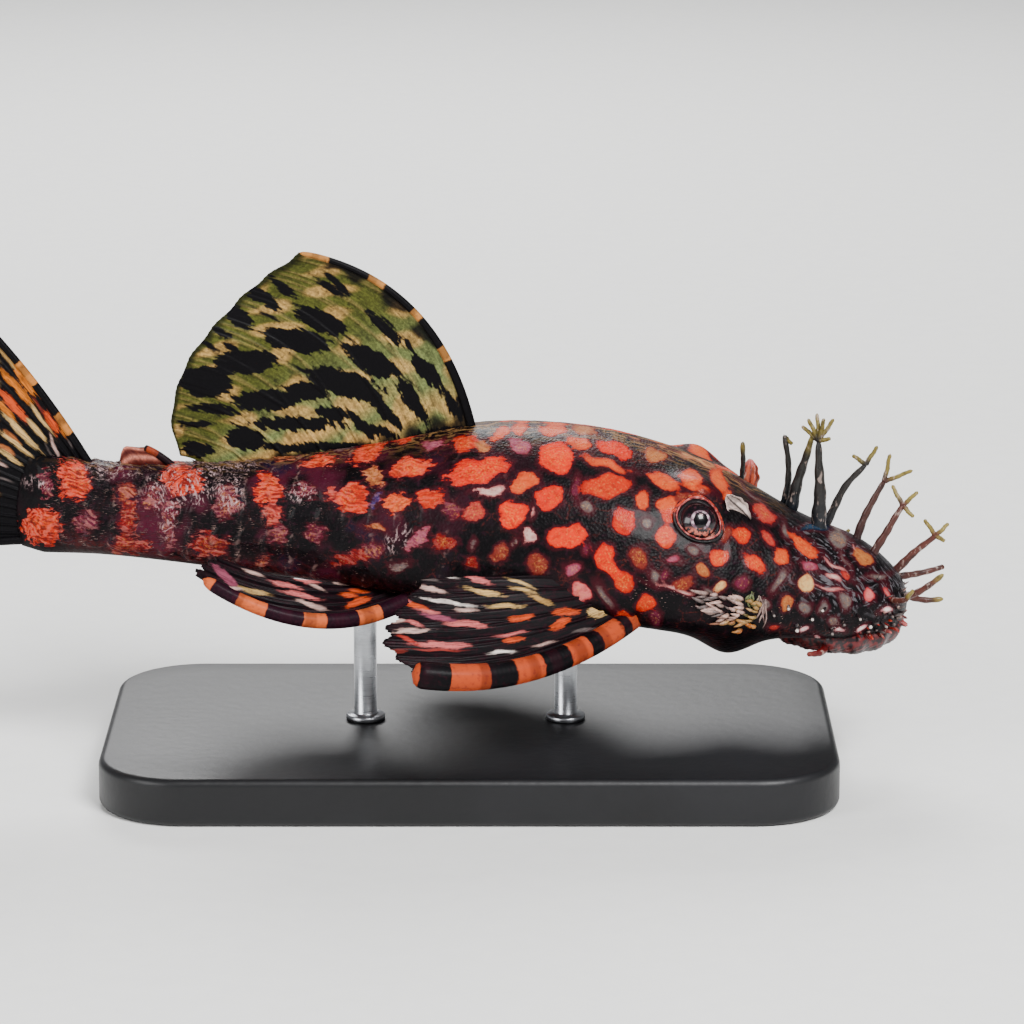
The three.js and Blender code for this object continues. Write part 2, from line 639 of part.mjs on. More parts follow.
function baseGeometry() {
  const [x, y, r] = [BASE_LONG / 2 - BASE_BEVEL, BASE_WIDE / 2 - BASE_BEVEL, BASE_CORNER];
  const outline = new THREE.Shape();
  outline.moveTo(-x + r, -y);
  outline.lineTo(x - r, -y);
  outline.absarc(x - r, -y + r, r, -Math.PI / 2, 0);
  outline.absarc(x - r, y - r, r, 0, Math.PI / 2);
  outline.absarc(-x + r, y - r, r, Math.PI / 2, Math.PI);
  outline.absarc(-x + r, -y + r, r, Math.PI, 1.5 * Math.PI);
  const geometry = new THREE.ExtrudeGeometry(outline, {
    depth: BASE_HIGH - 2 * BASE_BEVEL,
    bevelSize: BASE_BEVEL,
    bevelThickness: BASE_BEVEL,
    bevelSegments: 1,
    curveSegments: 7,
  });
  geometry.translate(0, 0, BASE_BEVEL);
  return geometry;
}

// Height of the belly line above the floor at a distance ahead of the stand's centre.
const bellyAt = (x) => BELLY_HEIGHT - x * Math.tan(PITCH);
function rodGeometry(x, radius, bottom, top) {
  const geometry = new THREE.CylinderGeometry(radius, radius, top - bottom, 24);
  geometry.rotateX(Math.PI / 2);
  geometry.translate(x, 0, (top + bottom) / 2);
  return geometry;
}

// The scene graph: the stand upright, and the fish in a group leaning head-down.
const model = new THREE.Group();
const fish = new THREE.Group();
fish.rotation.y = PITCH;
fish.position.z = BELLY_HEIGHT;
model.add(fish);
model.updateMatrixWorld(true);

function finish(color, roughness, metalness = 0) {
  return new THREE.MeshStandardMaterial({ color, roughness, metalness });
}
const MATERIALS = {
  skin: finish(0x251418, 0.35),
  lips: finish(0x6b3433, 0.5),
  fin: finish(0x6d5c34, 0.4),
  pairedFin: finish(0x6a3a2a, 0.4),
  eye: finish(0x140c10, 0.1),
  base: finish(0x1b1c1f, 0.45),
  rod: finish(0x9fa3a8, 0.3, 1),
};
function place(parent, name, geometry, material) {
  const mesh = new THREE.Mesh(geometry, material);
  mesh.name = name;
  parent.add(mesh);
}

// Body: one solid, parted by thin slabs that lean as the gill opening does.
const CUTS = [
  { x: 29.8, lean: 0.16 },
  { x: 14.6, lean: -0.3 },
  { x: -28.9, lean: 0 },
];
function slab({ x, lean }) {
  const geometry = new THREE.BoxGeometry(GAP, 60, 60);
  geometry.rotateY(lean);
  geometry.translate(x, 0, 8);
  return solidOf(geometry);
}
const toFish = fish.matrixWorld.clone().invert();
const sockets = Object.values(ROD_PLACES).map((x) => {
  const bottom = bellyAt(x) - 5;
  const top = bellyAt(x) + ROD_SINK + GAP;
  return solidOf(rodGeometry(x, ROD_RADIUS + GAP, bottom, top).applyMatrix4(toFish));
});
const clearance = bodySolid(GAP + 0.02);
const lengths = CUTS.map(slab)
  .reduce((body, cut) => body.subtract(cut), bodySolid())
  .decompose()
  .sort((a, b) => b.boundingBox().max[0] - a.boundingBox().max[0]);
const [snout, head, trunk, tail] = lengths;

const sides = { right: -1, left: 1 };
const draw = drawsFrom(1887);
const bothSides = (make) => Object.values(sides).flatMap(make);
const [nostrilBristle, ...snoutBristles] = BRISTLES;
const snoutGrowths = [...snoutBristles.flatMap(bristleSolids), ...bothSides(edgeBristles)];
const eyeSocket = (side) => solidOf(ball(EYE_RADIUS + GAP, eyeMiddle(side), 16, 12));
const headCuts = bothSides((side) => [eyeSocket(side), nostrilPit(side), gillSlit(side)]);
const headGrowths = [
  ...bristleSolids(nostrilBristle),
  ...bothSides((side) => [nostrilFlap(side), ...cheekSpines(side, draw)]),
];

place(fish, "snout", geometryOf(joined([snout, ...snoutGrowths])), MATERIALS.skin);
place(fish, "head", geometryOf(joined([cutFrom(head, ...headCuts), ...headGrowths])), MATERIALS.skin);
place(fish, "trunk", geometryOf(cutFrom(trunk, ...sockets)), MATERIALS.skin);
place(fish, "tail", geometryOf(tail), MATERIALS.skin);
place(fish, "sucker_mouth", geometryOf(mouthSolid(clearance)), MATERIALS.lips);
place(fish, "dorsal_fin", geometryOf(dorsalFin(clearance)), MATERIALS.fin);
place(fish, "adipose_fin", geometryOf(adiposeFin(clearance)), MATERIALS.pairedFin);
place(fish, "caudal_fin", geometryOf(caudalFin(clearance)), MATERIALS.fin);
place(fish, "anal_fin", geometryOf(analFin(clearance)), MATERIALS.pairedFin);
for (const [name, side] of Object.entries(sides)) {
  place(fish, "eye_" + name, ball(EYE_RADIUS, eyeMiddle(side), 14, 10), MATERIALS.eye);
  place(fish, "pectoral_fin_" + name, geometryOf(pectoralFin(side, clearance)), MATERIALS.pairedFin);
  place(fish, "pelvic_fin_" + name, geometryOf(pelvicFin(side, clearance)), MATERIALS.pairedFin);
}
place(model, "stand_base", baseGeometry(), MATERIALS.base);
for (const [name, x] of Object.entries(ROD_PLACES)) {
  const rod = rodGeometry(x, ROD_RADIUS, BASE_HIGH + GAP, bellyAt(x) + ROD_SINK);
  place(model, "stand_rod_" + name, rod, MATERIALS.rod);
}

export default model;
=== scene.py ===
"""A male bristlenose pleco as a life-size painted model on its stand: one spotted skin over the
plated body, fine tooth-like spines on the plates, branched bristles, rayed fins, eyes in ringed
orbits and a sucker mouth, in a pale studio."""
import math

import bpy
import numpy as np
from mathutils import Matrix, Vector


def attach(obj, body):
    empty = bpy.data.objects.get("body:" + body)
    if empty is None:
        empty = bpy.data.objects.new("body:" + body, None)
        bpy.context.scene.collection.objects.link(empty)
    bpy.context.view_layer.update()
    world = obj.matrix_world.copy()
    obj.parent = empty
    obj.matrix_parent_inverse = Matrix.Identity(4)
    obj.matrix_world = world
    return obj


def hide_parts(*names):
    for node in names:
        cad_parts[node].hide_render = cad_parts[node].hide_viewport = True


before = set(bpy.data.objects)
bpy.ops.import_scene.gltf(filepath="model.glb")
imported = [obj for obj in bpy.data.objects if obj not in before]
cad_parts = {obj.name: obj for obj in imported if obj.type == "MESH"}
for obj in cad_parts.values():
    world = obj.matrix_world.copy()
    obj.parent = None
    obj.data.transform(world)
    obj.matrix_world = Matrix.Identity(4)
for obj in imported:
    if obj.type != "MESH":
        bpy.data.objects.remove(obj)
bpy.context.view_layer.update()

# Driving sizes, in millimetres and degrees
MM = 0.001
STANDARD_LENGTH = 90.0
SNOUT_X = 45.5
PITCH = math.radians(6.0)
BELLY_HEIGHT = 19.0
SIDES = {"right": -1.0, "left": 1.0}

# The photo's view: what the camera looks at, from how far and how high, and a pixel's size there
AIM = np.array([4.368, 0.0, 27.4])
CAMERA_DISTANCE = 500.0
CAMERA_RAISE = math.radians(14.0)
PICTURE_WIDTH = 1024
PIXEL = 0.104
SENSOR_WIDTH = 36.0
LENS = SENSOR_WIDTH * CAMERA_DISTANCE / (PICTURE_WIDTH * PIXEL)
RIGHTWARDS = np.array([1.0, 0.0, 0.0])
VIEW = np.array([0.0, math.cos(CAMERA_RAISE), -math.sin(CAMERA_RAISE)])
UPWARDS = np.array([0.0, math.sin(CAMERA_RAISE), math.cos(CAMERA_RAISE)])


def paint(red, green, blue):
    """A colour named by its 0 to 255 shares on a screen, as the linear light that shaders use."""
    shares = np.array([red, green, blue]) / 255
    return np.where(shares < 0.04045, shares / 12.92, ((shares + 0.055) / 1.055) ** 2.4)


# The skin's and fins' colours
BLACK = paint(5, 3, 5)
UMBER = paint(22, 10, 14)
PLUM = paint(40, 9, 26)
INDIGO = paint(12, 10, 34)
ORANGE = paint(186, 30, 2)
BRIGHT = paint(198, 36, 2)
DEEP = paint(168, 22, 2)
SALMON = paint(180, 50, 22)
PEACH = paint(182, 66, 26)
ROSE = paint(150, 46, 38)
TAN = paint(146, 84, 44)
SAND = paint(150, 116, 66)
CREAM = paint(180, 146, 92)
RED = paint(112, 12, 12)
EMBER = paint(170, 36, 5)
BAND = paint(160, 62, 30)
DUSKY = paint(104, 34, 26)
MAUVE = paint(80, 18, 40)
VIOLET = paint(46, 36, 84)
LILAC = paint(128, 62, 80)
PINK = paint(184, 92, 90)
PALE = paint(180, 146, 136)
GREY = paint(86, 76, 74)
WHITE = paint(222, 208, 200)
OLIVE = paint(58, 60, 22)
SAGE = paint(84, 92, 54)
GOLD = paint(184, 100, 26)
INK = paint(4, 3, 5)
# Teal: a painted blue reflection on the skin at the bristles' roots
TEAL_REFLECTION = paint(14, 44, 66)
MAROON = paint(54, 8, 18)
GARNET = paint(60, 8, 16)
WINE = paint(76, 18, 18)
LIVER = paint(36, 18, 18)
ASH = paint(92, 90, 94)
# Straw: pale edges along the crest with a painted highlight on them
STRAW_AND_SHEEN = paint(142, 104, 62)
AMBER = paint(216, 136, 52)
BLUSH = paint(206, 140, 128)
# White of the painted glints on the tail's spines
SPINE_GLINT = paint(168, 140, 140)
# Bone: whitish streaks on the bristles with a painted glint
BONE_GLINT = paint(172, 150, 140)
PUPIL = paint(2, 1, 3)
SILVER = paint(206, 180, 190)
STEEL = paint(196, 198, 202)


def in_world(points):
    """The fish's own millimetres as world metres: turned head-down by the pitch, then raised."""
    along, across, up = np.moveaxis(np.asarray(points, float), -1, 0)
    x = along * math.cos(PITCH) + up * math.sin(PITCH)
    z = BELLY_HEIGHT - along * math.sin(PITCH) + up * math.cos(PITCH)
    return np.stack([x, across, z], axis=-1) * MM


def in_picture(points):
    """Where the camera sees points of the fish: perspective division of their offset from its aim."""
    offset = in_world(points) / MM - AIM
    scale = CAMERA_DISTANCE / (CAMERA_DISTANCE + offset @ VIEW) / PIXEL
    middle = PICTURE_WIDTH / 2
    return np.stack([middle + (offset @ RIGHTWARDS) * scale, middle - (offset @ UPWARDS) * scale], axis=-1)


def smooth(value, low, high):
    """A cubic step from 0 at low to 1 at high."""
    share = np.clip((value - low) / (high - low), 0, 1)
    return share * share * (3 - 2 * share)


def bell(value, middle, width):
    """A bell curve: 1 at the middle, falling away over the width."""
    return np.exp(-(((value - middle) / width) ** 2))


def unit(vectors):
    """Each vector divided by its length."""
    return vectors / np.maximum(np.linalg.norm(vectors, axis=-1, keepdims=True), 1e-9)


def blended(first, second, share):
    """Two colours mixed by a share for each point."""
    share = np.asarray(share)[..., None]
    return first * (1 - share) + second * share


def to_seen_side(vectors):
    """Points or ways of the left flank mirrored onto the right one, which the camera sees."""
    return vectors * [1, 0, 1] - np.abs(vectors * [0, 1, 0])


# A fixed start for the random numbers of each strewn piece
SEEDS = {"hidden spots": 41, "plate spines": 7, "head spines": 19, "cheeks": 23, "edge bristles": 31,
         "snout tufts": 67, "lip fringe": 53}


def draws(piece):
    """The random numbers of one strewn piece, the same at each run."""
    return np.random.default_rng(SEEDS[piece])


def uneven(draw, count, low=0.6, spread=0.8):
    """Numbers drawn evenly from low up by the spread."""
    return low + spread * draw.random(count)


def drawn_sides(draw, count):
    """Flanks drawn with equal chances, -1 for right and 1 for left."""
    return np.where(draw.random(count) < 0.5, -1.0, 1.0)


class Shape:
    """Points in the fish's frame, faces of four and of three corners, and values for each point."""

    def __init__(self, points, quads=(), triangles=(), **values):
        self.points = np.asarray(points, float).reshape(-1, 3)
        self.quads = np.asarray(quads, int).reshape(-1, 4)
        self.triangles = np.asarray(triangles, int).reshape(-1, 3)
        self.values = values

    def faced_out(self):
        """Turns all faces over where the volume they enclose comes out negative."""
        q, t = self.quads, self.triangles
        corners = np.concatenate([q[:, [0, 1, 2]], q[:, [0, 2, 3]], t])
        a, b, c = (self.points[corners[:, i]] for i in range(3))
        if np.einsum("ij,ij->", a, np.cross(b, c)) < 0:
            self.quads, self.triangles = q[:, ::-1], t[:, ::-1]
        return self


def joined(shapes):
    """Several shapes as one, with the faces' point numbers moved on by the points before them."""
    starts = np.cumsum([0] + [len(s.points) for s in shapes[:-1]])
    names = shapes[0].values.keys()
    return Shape(
        np.concatenate([s.points for s in shapes]),
        np.concatenate([s.quads + start for s, start in zip(shapes, starts)]),
        np.concatenate([s.triangles + start for s, start in zip(shapes, starts)]),
        **{n: np.concatenate([s.values[n] for s in shapes]) for n in names},
    )


def grid_quads(rows, columns, wrapped=False):
    """Four-cornered faces between neighbours on a grid of points, and round its columns if wrapped."""
    row = np.arange(rows - 1)[:, None]
    column = np.arange(columns if wrapped else columns - 1)[None, :]
    beside = (column + 1) % columns
    corners = [row * columns + column, row * columns + beside]
    corners += [(row + 1) * columns + beside, (row + 1) * columns + column]
    return np.stack(corners, axis=-1).reshape(-1, 4)


def tube(rings, **values):
    """A closed tube through rings of equal count, shaped (rings, points, 3), with a fan at each end.
    Values are shaped (rings, points, ...), and each fan's middle takes its ring's mean."""
    rows, columns = rings.shape[:2]
    around = np.arange(columns)
    beside = (around + 1) % columns
    last = (rows - 1) * columns
    first_fan = np.stack([beside, around, np.full(columns, rows * columns)], axis=-1)
    last_fan = np.stack([last + around, last + beside, np.full(columns, rows * columns + 1)], axis=-1)

    def flat(array):
        ends = [array[0].mean(axis=0, keepdims=True), array[-1].mean(axis=0, keepdims=True)]
        return np.concatenate([array.reshape((-1,) + array.shape[2:])] + ends)

    return Shape(
        flat(rings),
        grid_quads(rows, columns, wrapped=True),
        np.concatenate([first_fan, last_fan]),
        **{name: flat(array) for name, array in values.items()},
    ).faced_out()


def closed_sheet(front, back, **values):
    """A sheet with two faces, each a grid of points, joined round the rim by a strip of faces."""
    rows, columns = front.shape[:2]
    size = rows * columns
    rim = np.concatenate([
        np.arange(columns - 1),
        np.arange(rows - 1) * columns + columns - 1,
        size - 1 - np.arange(columns - 1),
        (rows - 1 - np.arange(rows - 1)) * columns,
    ])
    after = np.roll(rim, -1)
    faces = grid_quads(rows, columns)
    strip = np.stack([rim, rim + size, after + size, after], axis=-1)
    quads = np.concatenate([faces, faces[:, ::-1] + size, strip])
    points = np.concatenate([front.reshape(-1, 3), back.reshape(-1, 3)])
    doubled = {n: np.concatenate([a.reshape((size,) + a.shape[2:])] * 2) for n, a in values.items()}
    return Shape(points, quads, **doubled).faced_out()


# Width of a spine's patch on the skin's unwrap at its root, and the share of it kept at the tip
BAKE_PATCH = 0.003
BAKE_PATCH_TIP = 0.2


def rods(paths, radii, sides, uv=None, **values):
    """Tapered rods, one for each path, shaped (rods, points, 3). A ring of the given radius stands
    across the path at each point but the last, which is the tip. Values are shaped (rods, points, ...).
    With uv, each rod's root place on the skin's unwrap, it keeps a small patch there."""
    count, steps = paths.shape[:2]
    ahead = unit(np.gradient(paths, axis=1))
    upright = np.abs(ahead.mean(axis=1, keepdims=True)[..., 2:]) > 0.8
    helper = np.where(upright, [1.0, 0.0, 0.0], [0.0, 0.0, 1.0])
    first = unit(np.cross(ahead, helper))
    second = np.cross(ahead, first)
    turn = 2 * np.pi * np.arange(sides) / sides
    ring_way = np.cos(turn)[:, None] * first[:, :-1, None] + np.sin(turn)[:, None] * second[:, :-1, None]
    rings = paths[:, :-1, None] + radii[:, :-1, None, None] * ring_way
    size = (steps - 1) * sides + 2

    def spread(array):
        around = np.repeat(array[:, :-1, None], sides, axis=2)
        around = around.reshape((count, -1) + array.shape[2:])
        return np.concatenate([around, array[:, :1], array[:, -1:]], axis=1).reshape((-1,) + array.shape[2:])

    points = np.concatenate([rings.reshape(count, -1, 3), paths[:, :1], paths[:, -1:]], axis=1)
    around = np.arange(sides)
    beside = (around + 1) % sides
    last = (steps - 2) * sides
    fans = np.concatenate([
        np.stack([beside, around, np.full(sides, size - 2)], axis=-1),
        np.stack([last + around, last + beside, np.full(sides, size - 1)], axis=-1),
    ])
    offsets = (np.arange(count) * size)[:, None, None]
    held = {name: spread(array) for name, array in values.items()}
    if uv is not None:
        reach = BAKE_PATCH / 2 * np.linspace(1, BAKE_PATCH_TIP, steps - 1)[:, None, None]
        petals = reach * np.stack([np.cos(turn), np.sin(turn)], axis=-1)
        patch = np.concatenate([petals.reshape(-1, 2), np.zeros((2, 2))])
        held["uv"] = (uv[:, None] + patch).reshape(-1, 2)
    quads = grid_quads(steps - 1, sides, wrapped=True) if steps > 2 else np.zeros((0, 4), int)
    return Shape(points.reshape(-1, 3), quads + offsets, fans + offsets, **held).faced_out()


CURVE_STEPS = 40


def curve_through(joints, shares):
    """Points on a smooth curve through the joints, at shares of its length: Catmull-Rom pieces,
    with the line run on past each end, measured out by the length along them."""
    joints = np.asarray(joints, float)
    ends = [2 * joints[0] - joints[1], 2 * joints[-1] - joints[-2]]
    held = np.concatenate([ends[:1], joints, ends[1:]])
    fine = np.linspace(0, len(joints) - 1, CURVE_STEPS * (len(joints) - 1) + 1)
    piece = np.minimum(fine.astype(int), len(joints) - 2)
    t = (fine - piece)[:, None]
    a, b, c, d = (held[piece + i] for i in range(4))
    curve = 0.5 * (2 * b + (c - a) * t + (2 * a - 5 * b + 4 * c - d) * t**2 + (3 * b - a - 3 * c + d) * t**3)
    run = np.concatenate([[0], np.cumsum(np.linalg.norm(np.diff(curve, axis=0), axis=1))])
    return np.stack([np.interp(shares * run[-1], run, curve[:, i]) for i in range(3)], axis=-1)


# Body form: distance back, height of the widest line, rise to the back, drop to the belly, half width
STATIONS = np.array([
    [0, 3.5, 0, 0, 0],
    [2, 3.4, 3.8, 2.8, 5.3],
    [6, 3.4, 6.3, 3.3, 8.3],
    [12, 3.8, 7.7, 3.8, 10.6],
    [17.5, 4.1, 9.9, 4.4, 11.9],
    [23, 4.4, 11.9, 4.8, 12.8],
    [31, 4.7, 13.4, 4.7, 13.3],
    [38, 4.8, 13.7, 4.8, 12.5],
    [46, 5.0, 12.8, 5.0, 10.9],
    [55, 5.2, 10.0, 5.2, 8.6],
    [65, 5.2, 7.3, 5.1, 6.2],
    [76, 5.1, 5.3, 4.9, 4.2],
    [84, 4.9, 4.7, 4.8, 3.2],
    [90, 4.8, 5.1, 5.2, 2.4],
])
BACK_ROUNDNESS = 2.1
BELLY_FLATNESS = 3.2


def along_body(column, back):
    """A size along the body: a cubic through the stations, of squared sizes but for the girth's
    height, with each station's slope taken from its neighbours."""
    places = STATIONS[:, 0]
    power = 1 if column == 1 else 2
    value = STATIONS[:, column] ** power
    before = np.maximum(np.arange(len(places)) - 1, 0)
    behind = np.minimum(np.arange(len(places)) + 1, len(places) - 1)
    slope = (value[behind] - value[before]) / (places[behind] - places[before])
    i = np.clip(np.searchsorted(places, back) - 1, 0, len(places) - 2)
    width = places[i + 1] - places[i]
    t = (back - places[i]) / width
    cubic = value[i] * (1 + 2 * t) * (1 - t) ** 2 + slope[i] * width * t * (1 - t) ** 2
    cubic += value[i + 1] * t * t * (3 - 2 * t) + slope[i + 1] * width * t * t * (t - 1)
    return np.maximum(cubic, 0) ** (1 / power)


TABLE_BACKS = STANDARD_LENGTH * np.linspace(0, 1, 520) ** 1.6
TABLE_SHARES = np.linspace(0, 1, 161)


def section_table():
    """Half sections of the body from mid-back to mid-belly, even in length: superellipses, rounder
    above the widest line than below. Gives across, up and the outward way, and each one's length."""
    girth, rise, drop, half = (along_body(i, TABLE_BACKS)[:, None] for i in range(1, 5))
    turn = np.linspace(np.pi / 2, -np.pi / 2, 361)[None, :]
    power = 2 / np.where(turn > 0, BACK_ROUNDNESS, BELLY_FLATNESS)
    across = half * np.abs(np.cos(turn)) ** power
    height = np.abs(np.sin(turn)) ** power
    up = girth + np.where(turn > 0, rise * height, -drop * height)
    steps = np.hypot(np.diff(across, axis=1), np.diff(up, axis=1))
    run = np.concatenate([np.zeros((len(steps), 1)), np.cumsum(steps, axis=1)], axis=1)
    lengths = run[:, -1]
    wanted = TABLE_SHARES * lengths[:, None]
    across = np.array([np.interp(w, r, a) for w, r, a in zip(wanted, run, across)])
    up = np.array([np.interp(w, r, u) for w, r, u in zip(wanted, run, up)])
    outward = unit(np.stack([-np.gradient(up, axis=1), np.gradient(across, axis=1)], axis=-1))
    outward[:, 0] = [0, 1]
    outward[:, -1] = [0, -1]
    return np.concatenate([across[..., None], up[..., None], outward], axis=-1), lengths


SECTIONS, SECTION_LENGTHS = section_table()

# Swellings of the skin: distance back, flank share, height, and how far they spread both ways
EYE_BACK = 23.3
EYE_SHARE = 0.32
SWELLINGS = [
    (EYE_BACK - 0.3, EYE_SHARE - 0.095, 1.9, 3.0, 0.07),
    (18.6, 0.22, 0.4, 1.7, 0.06),
    (26.5, 0.56, 0.5, 4.0, 0.09),
    (18.5, 0.56, 0.4, 4.5, 0.1),
    (18.6, 0.79, 1.9, 3.2, 0.11),
]


def on_skin(back, share, side, lift=0.0):
    """A point of the skin: the section table read between its entries, moved outwards by the lift
    and by the swellings, each a bell curve over distance back and flank share."""
    back, share, side, lift = np.broadcast_arrays(back, share, side, np.asarray(lift, float))
    row = np.interp(back, TABLE_BACKS, np.arange(len(TABLE_BACKS)))
    column = np.clip(share, 0, 1) * (len(TABLE_SHARES) - 1)
    r = np.minimum(row.astype(int), len(TABLE_BACKS) - 2)
    c = np.minimum(column.astype(int), len(TABLE_SHARES) - 2)
    right = (row - r)[..., None]
    below = (column - c)[..., None]
    upper = SECTIONS[r, c] * (1 - below) + SECTIONS[r, c + 1] * below
    lower = SECTIONS[r + 1, c] * (1 - below) + SECTIONS[r + 1, c + 1] * below
    across, up, out_across, out_up = np.moveaxis(upper * (1 - right) + lower * right, -1, 0)
    out = lift.copy()
    for at_back, at_share, height, length, spread in SWELLINGS:
        out += height * bell(back, at_back, length) * bell(share, at_share, spread)
    beside = side * np.maximum(across + out_across * out, 0)
    return np.stack([SNOUT_X - back, beside, up + out_up * out], axis=-1)


def skin_normal(back, share, side):
    """The skin's outward way: the cross product of a short step down the flank and one tailwards."""
    step = 0.05
    tailward = on_skin(back + step, share, side) - on_skin(back - step, share, side)
    down = on_skin(back, share + step / 5, side) - on_skin(back, share - step / 5, side)
    return unit(np.cross(down, tailward) * np.asarray(side)[..., None])


# Markings as ellipses in the photo's pixels: middle across and down, half length and width, tilt, colour
TRUNK_SPOTS = [
    (478, 471, 33, 12, 14, ORANGE), (466, 443, 13, 9, 10, EMBER), (484, 447, 9, 6, 0, TAN),
    (500, 434, 11, 6, 25, PEACH), (519, 428, 9, 6, -10, PEACH), (520, 446, 11, 8, -30, LILAC),
    (556, 458, 19, 16, -25, BRIGHT), (552, 430, 16, 6, -5, PEACH), (580, 443, 13, 7, -20, PEACH),
    (584, 430, 14, 4, -22, TAN), (615, 449, 19, 8, -22, ORANGE), (606, 464, 26, 4.5, -18, PEACH),
    (607, 486, 25, 12, 3, EMBER), (524, 482, 17, 9, 20, PEACH), (550, 498, 14, 13, 0, ORANGE),
    (513, 515, 15, 14, 20, BRIGHT), (474, 512, 12, 8, 25, ROSE), (452, 511, 8, 8, 0, MAUVE),
    (490, 491, 15, 5, 0, PALE), (624, 521, 13, 13, 0, DEEP), (642, 501, 8, 11, -10, PEACH),
    (567, 537, 20, 12, 12, BRIGHT), (529, 536, 7, 8, 0, PALE), (585, 507, 8, 6, -30, GREY),
    (538, 564, 12, 10, 0, DUSKY), (500, 554, 10, 10, -30, DUSKY), (572, 569, 9, 7, 20, LILAC),
    (605, 557, 10, 15, 8, ORANGE), (612, 571, 13, 7, -42, ORANGE), (624, 581, 11, 10, -35, EMBER),
    (639, 558, 9, 13, 12, DUSKY), (581, 592, 11, 9, -35, PINK), (646, 604, 9, 9, 0, EMBER),
    (626, 621, 10, 9, -30, EMBER), (607, 633, 10, 11, -15, EMBER), (605, 596, 15, 3.5, -60, GREY),
    (648, 522, 5, 6, 0, GREY), (444, 543, 13, 8, 0, RED), (470, 563, 7, 6, 0, RED),
    (532, 512, 2, 5, 0, PALE), (473, 545, 2.5, 5, 0, GREY), (514, 542, 3, 6, -20, GREY),
    (576, 487, 4.5, 11, 0, MAUVE), (587, 550, 4, 6, 0, MAUVE), (370, 451, 19, 9, 30, SALMON),
    (411, 468, 20, 10, 8, SALMON), (397, 502, 14, 9, 25, PEACH), (431, 498, 14, 10, 10, EMBER),
    (353, 499, 16, 16, 0, EMBER), (334, 495, 9, 7, 0, ROSE), (320, 461, 15, 6, 10, SALMON),
    (375, 477, 11, 9, -35, TAN), (269, 489, 14, 17, 0, EMBER), (272, 514, 9, 11, -10, ROSE),
    (278, 534, 8, 12, -25, MAUVE), (355, 557, 20, 7, 8, RED), (373, 549, 10, 8, 0, MAUVE),
    (418, 538, 14, 7, 50, LILAC), (316, 533, 12, 8, 0, MAUVE), (305, 491, 9, 8, -15, MAUVE),
    (264, 561, 7, 6, 20, DUSKY), (400, 566, 10, 5, 15, GREY), (377, 528, 9, 3, -15, TAN),
    (435, 444, 11, 4.5, 8, LILAC), (376, 500, 4, 10, -15, VIOLET), (284, 456, 13, 5, -8, TAN),
    (401, 436, 15, 6, 8, SALMON), (344, 447, 11, 2.5, 8, GREY),
]
TAIL_SPOTS = [
    (183, 480, 20, 15, -10, EMBER), (210, 545, 18, 12, -12, RED), (127, 493, 11, 10, 0, DUSKY),
    (129, 518, 9, 20, 0, RED), (130, 545, 18, 10, 0, RED), (74, 480, 16, 21, 10, EMBER),
    (42, 526, 20, 19, 0, EMBER), (87, 522, 10, 13, 0, MAUVE), (227, 503, 13, 16, 0, MAUVE),
    (168, 515, 9, 31, 4, MAUVE), (151, 500, 9, 13, 0, MAUVE), (46, 485, 7, 15, 0, MAUVE),
]
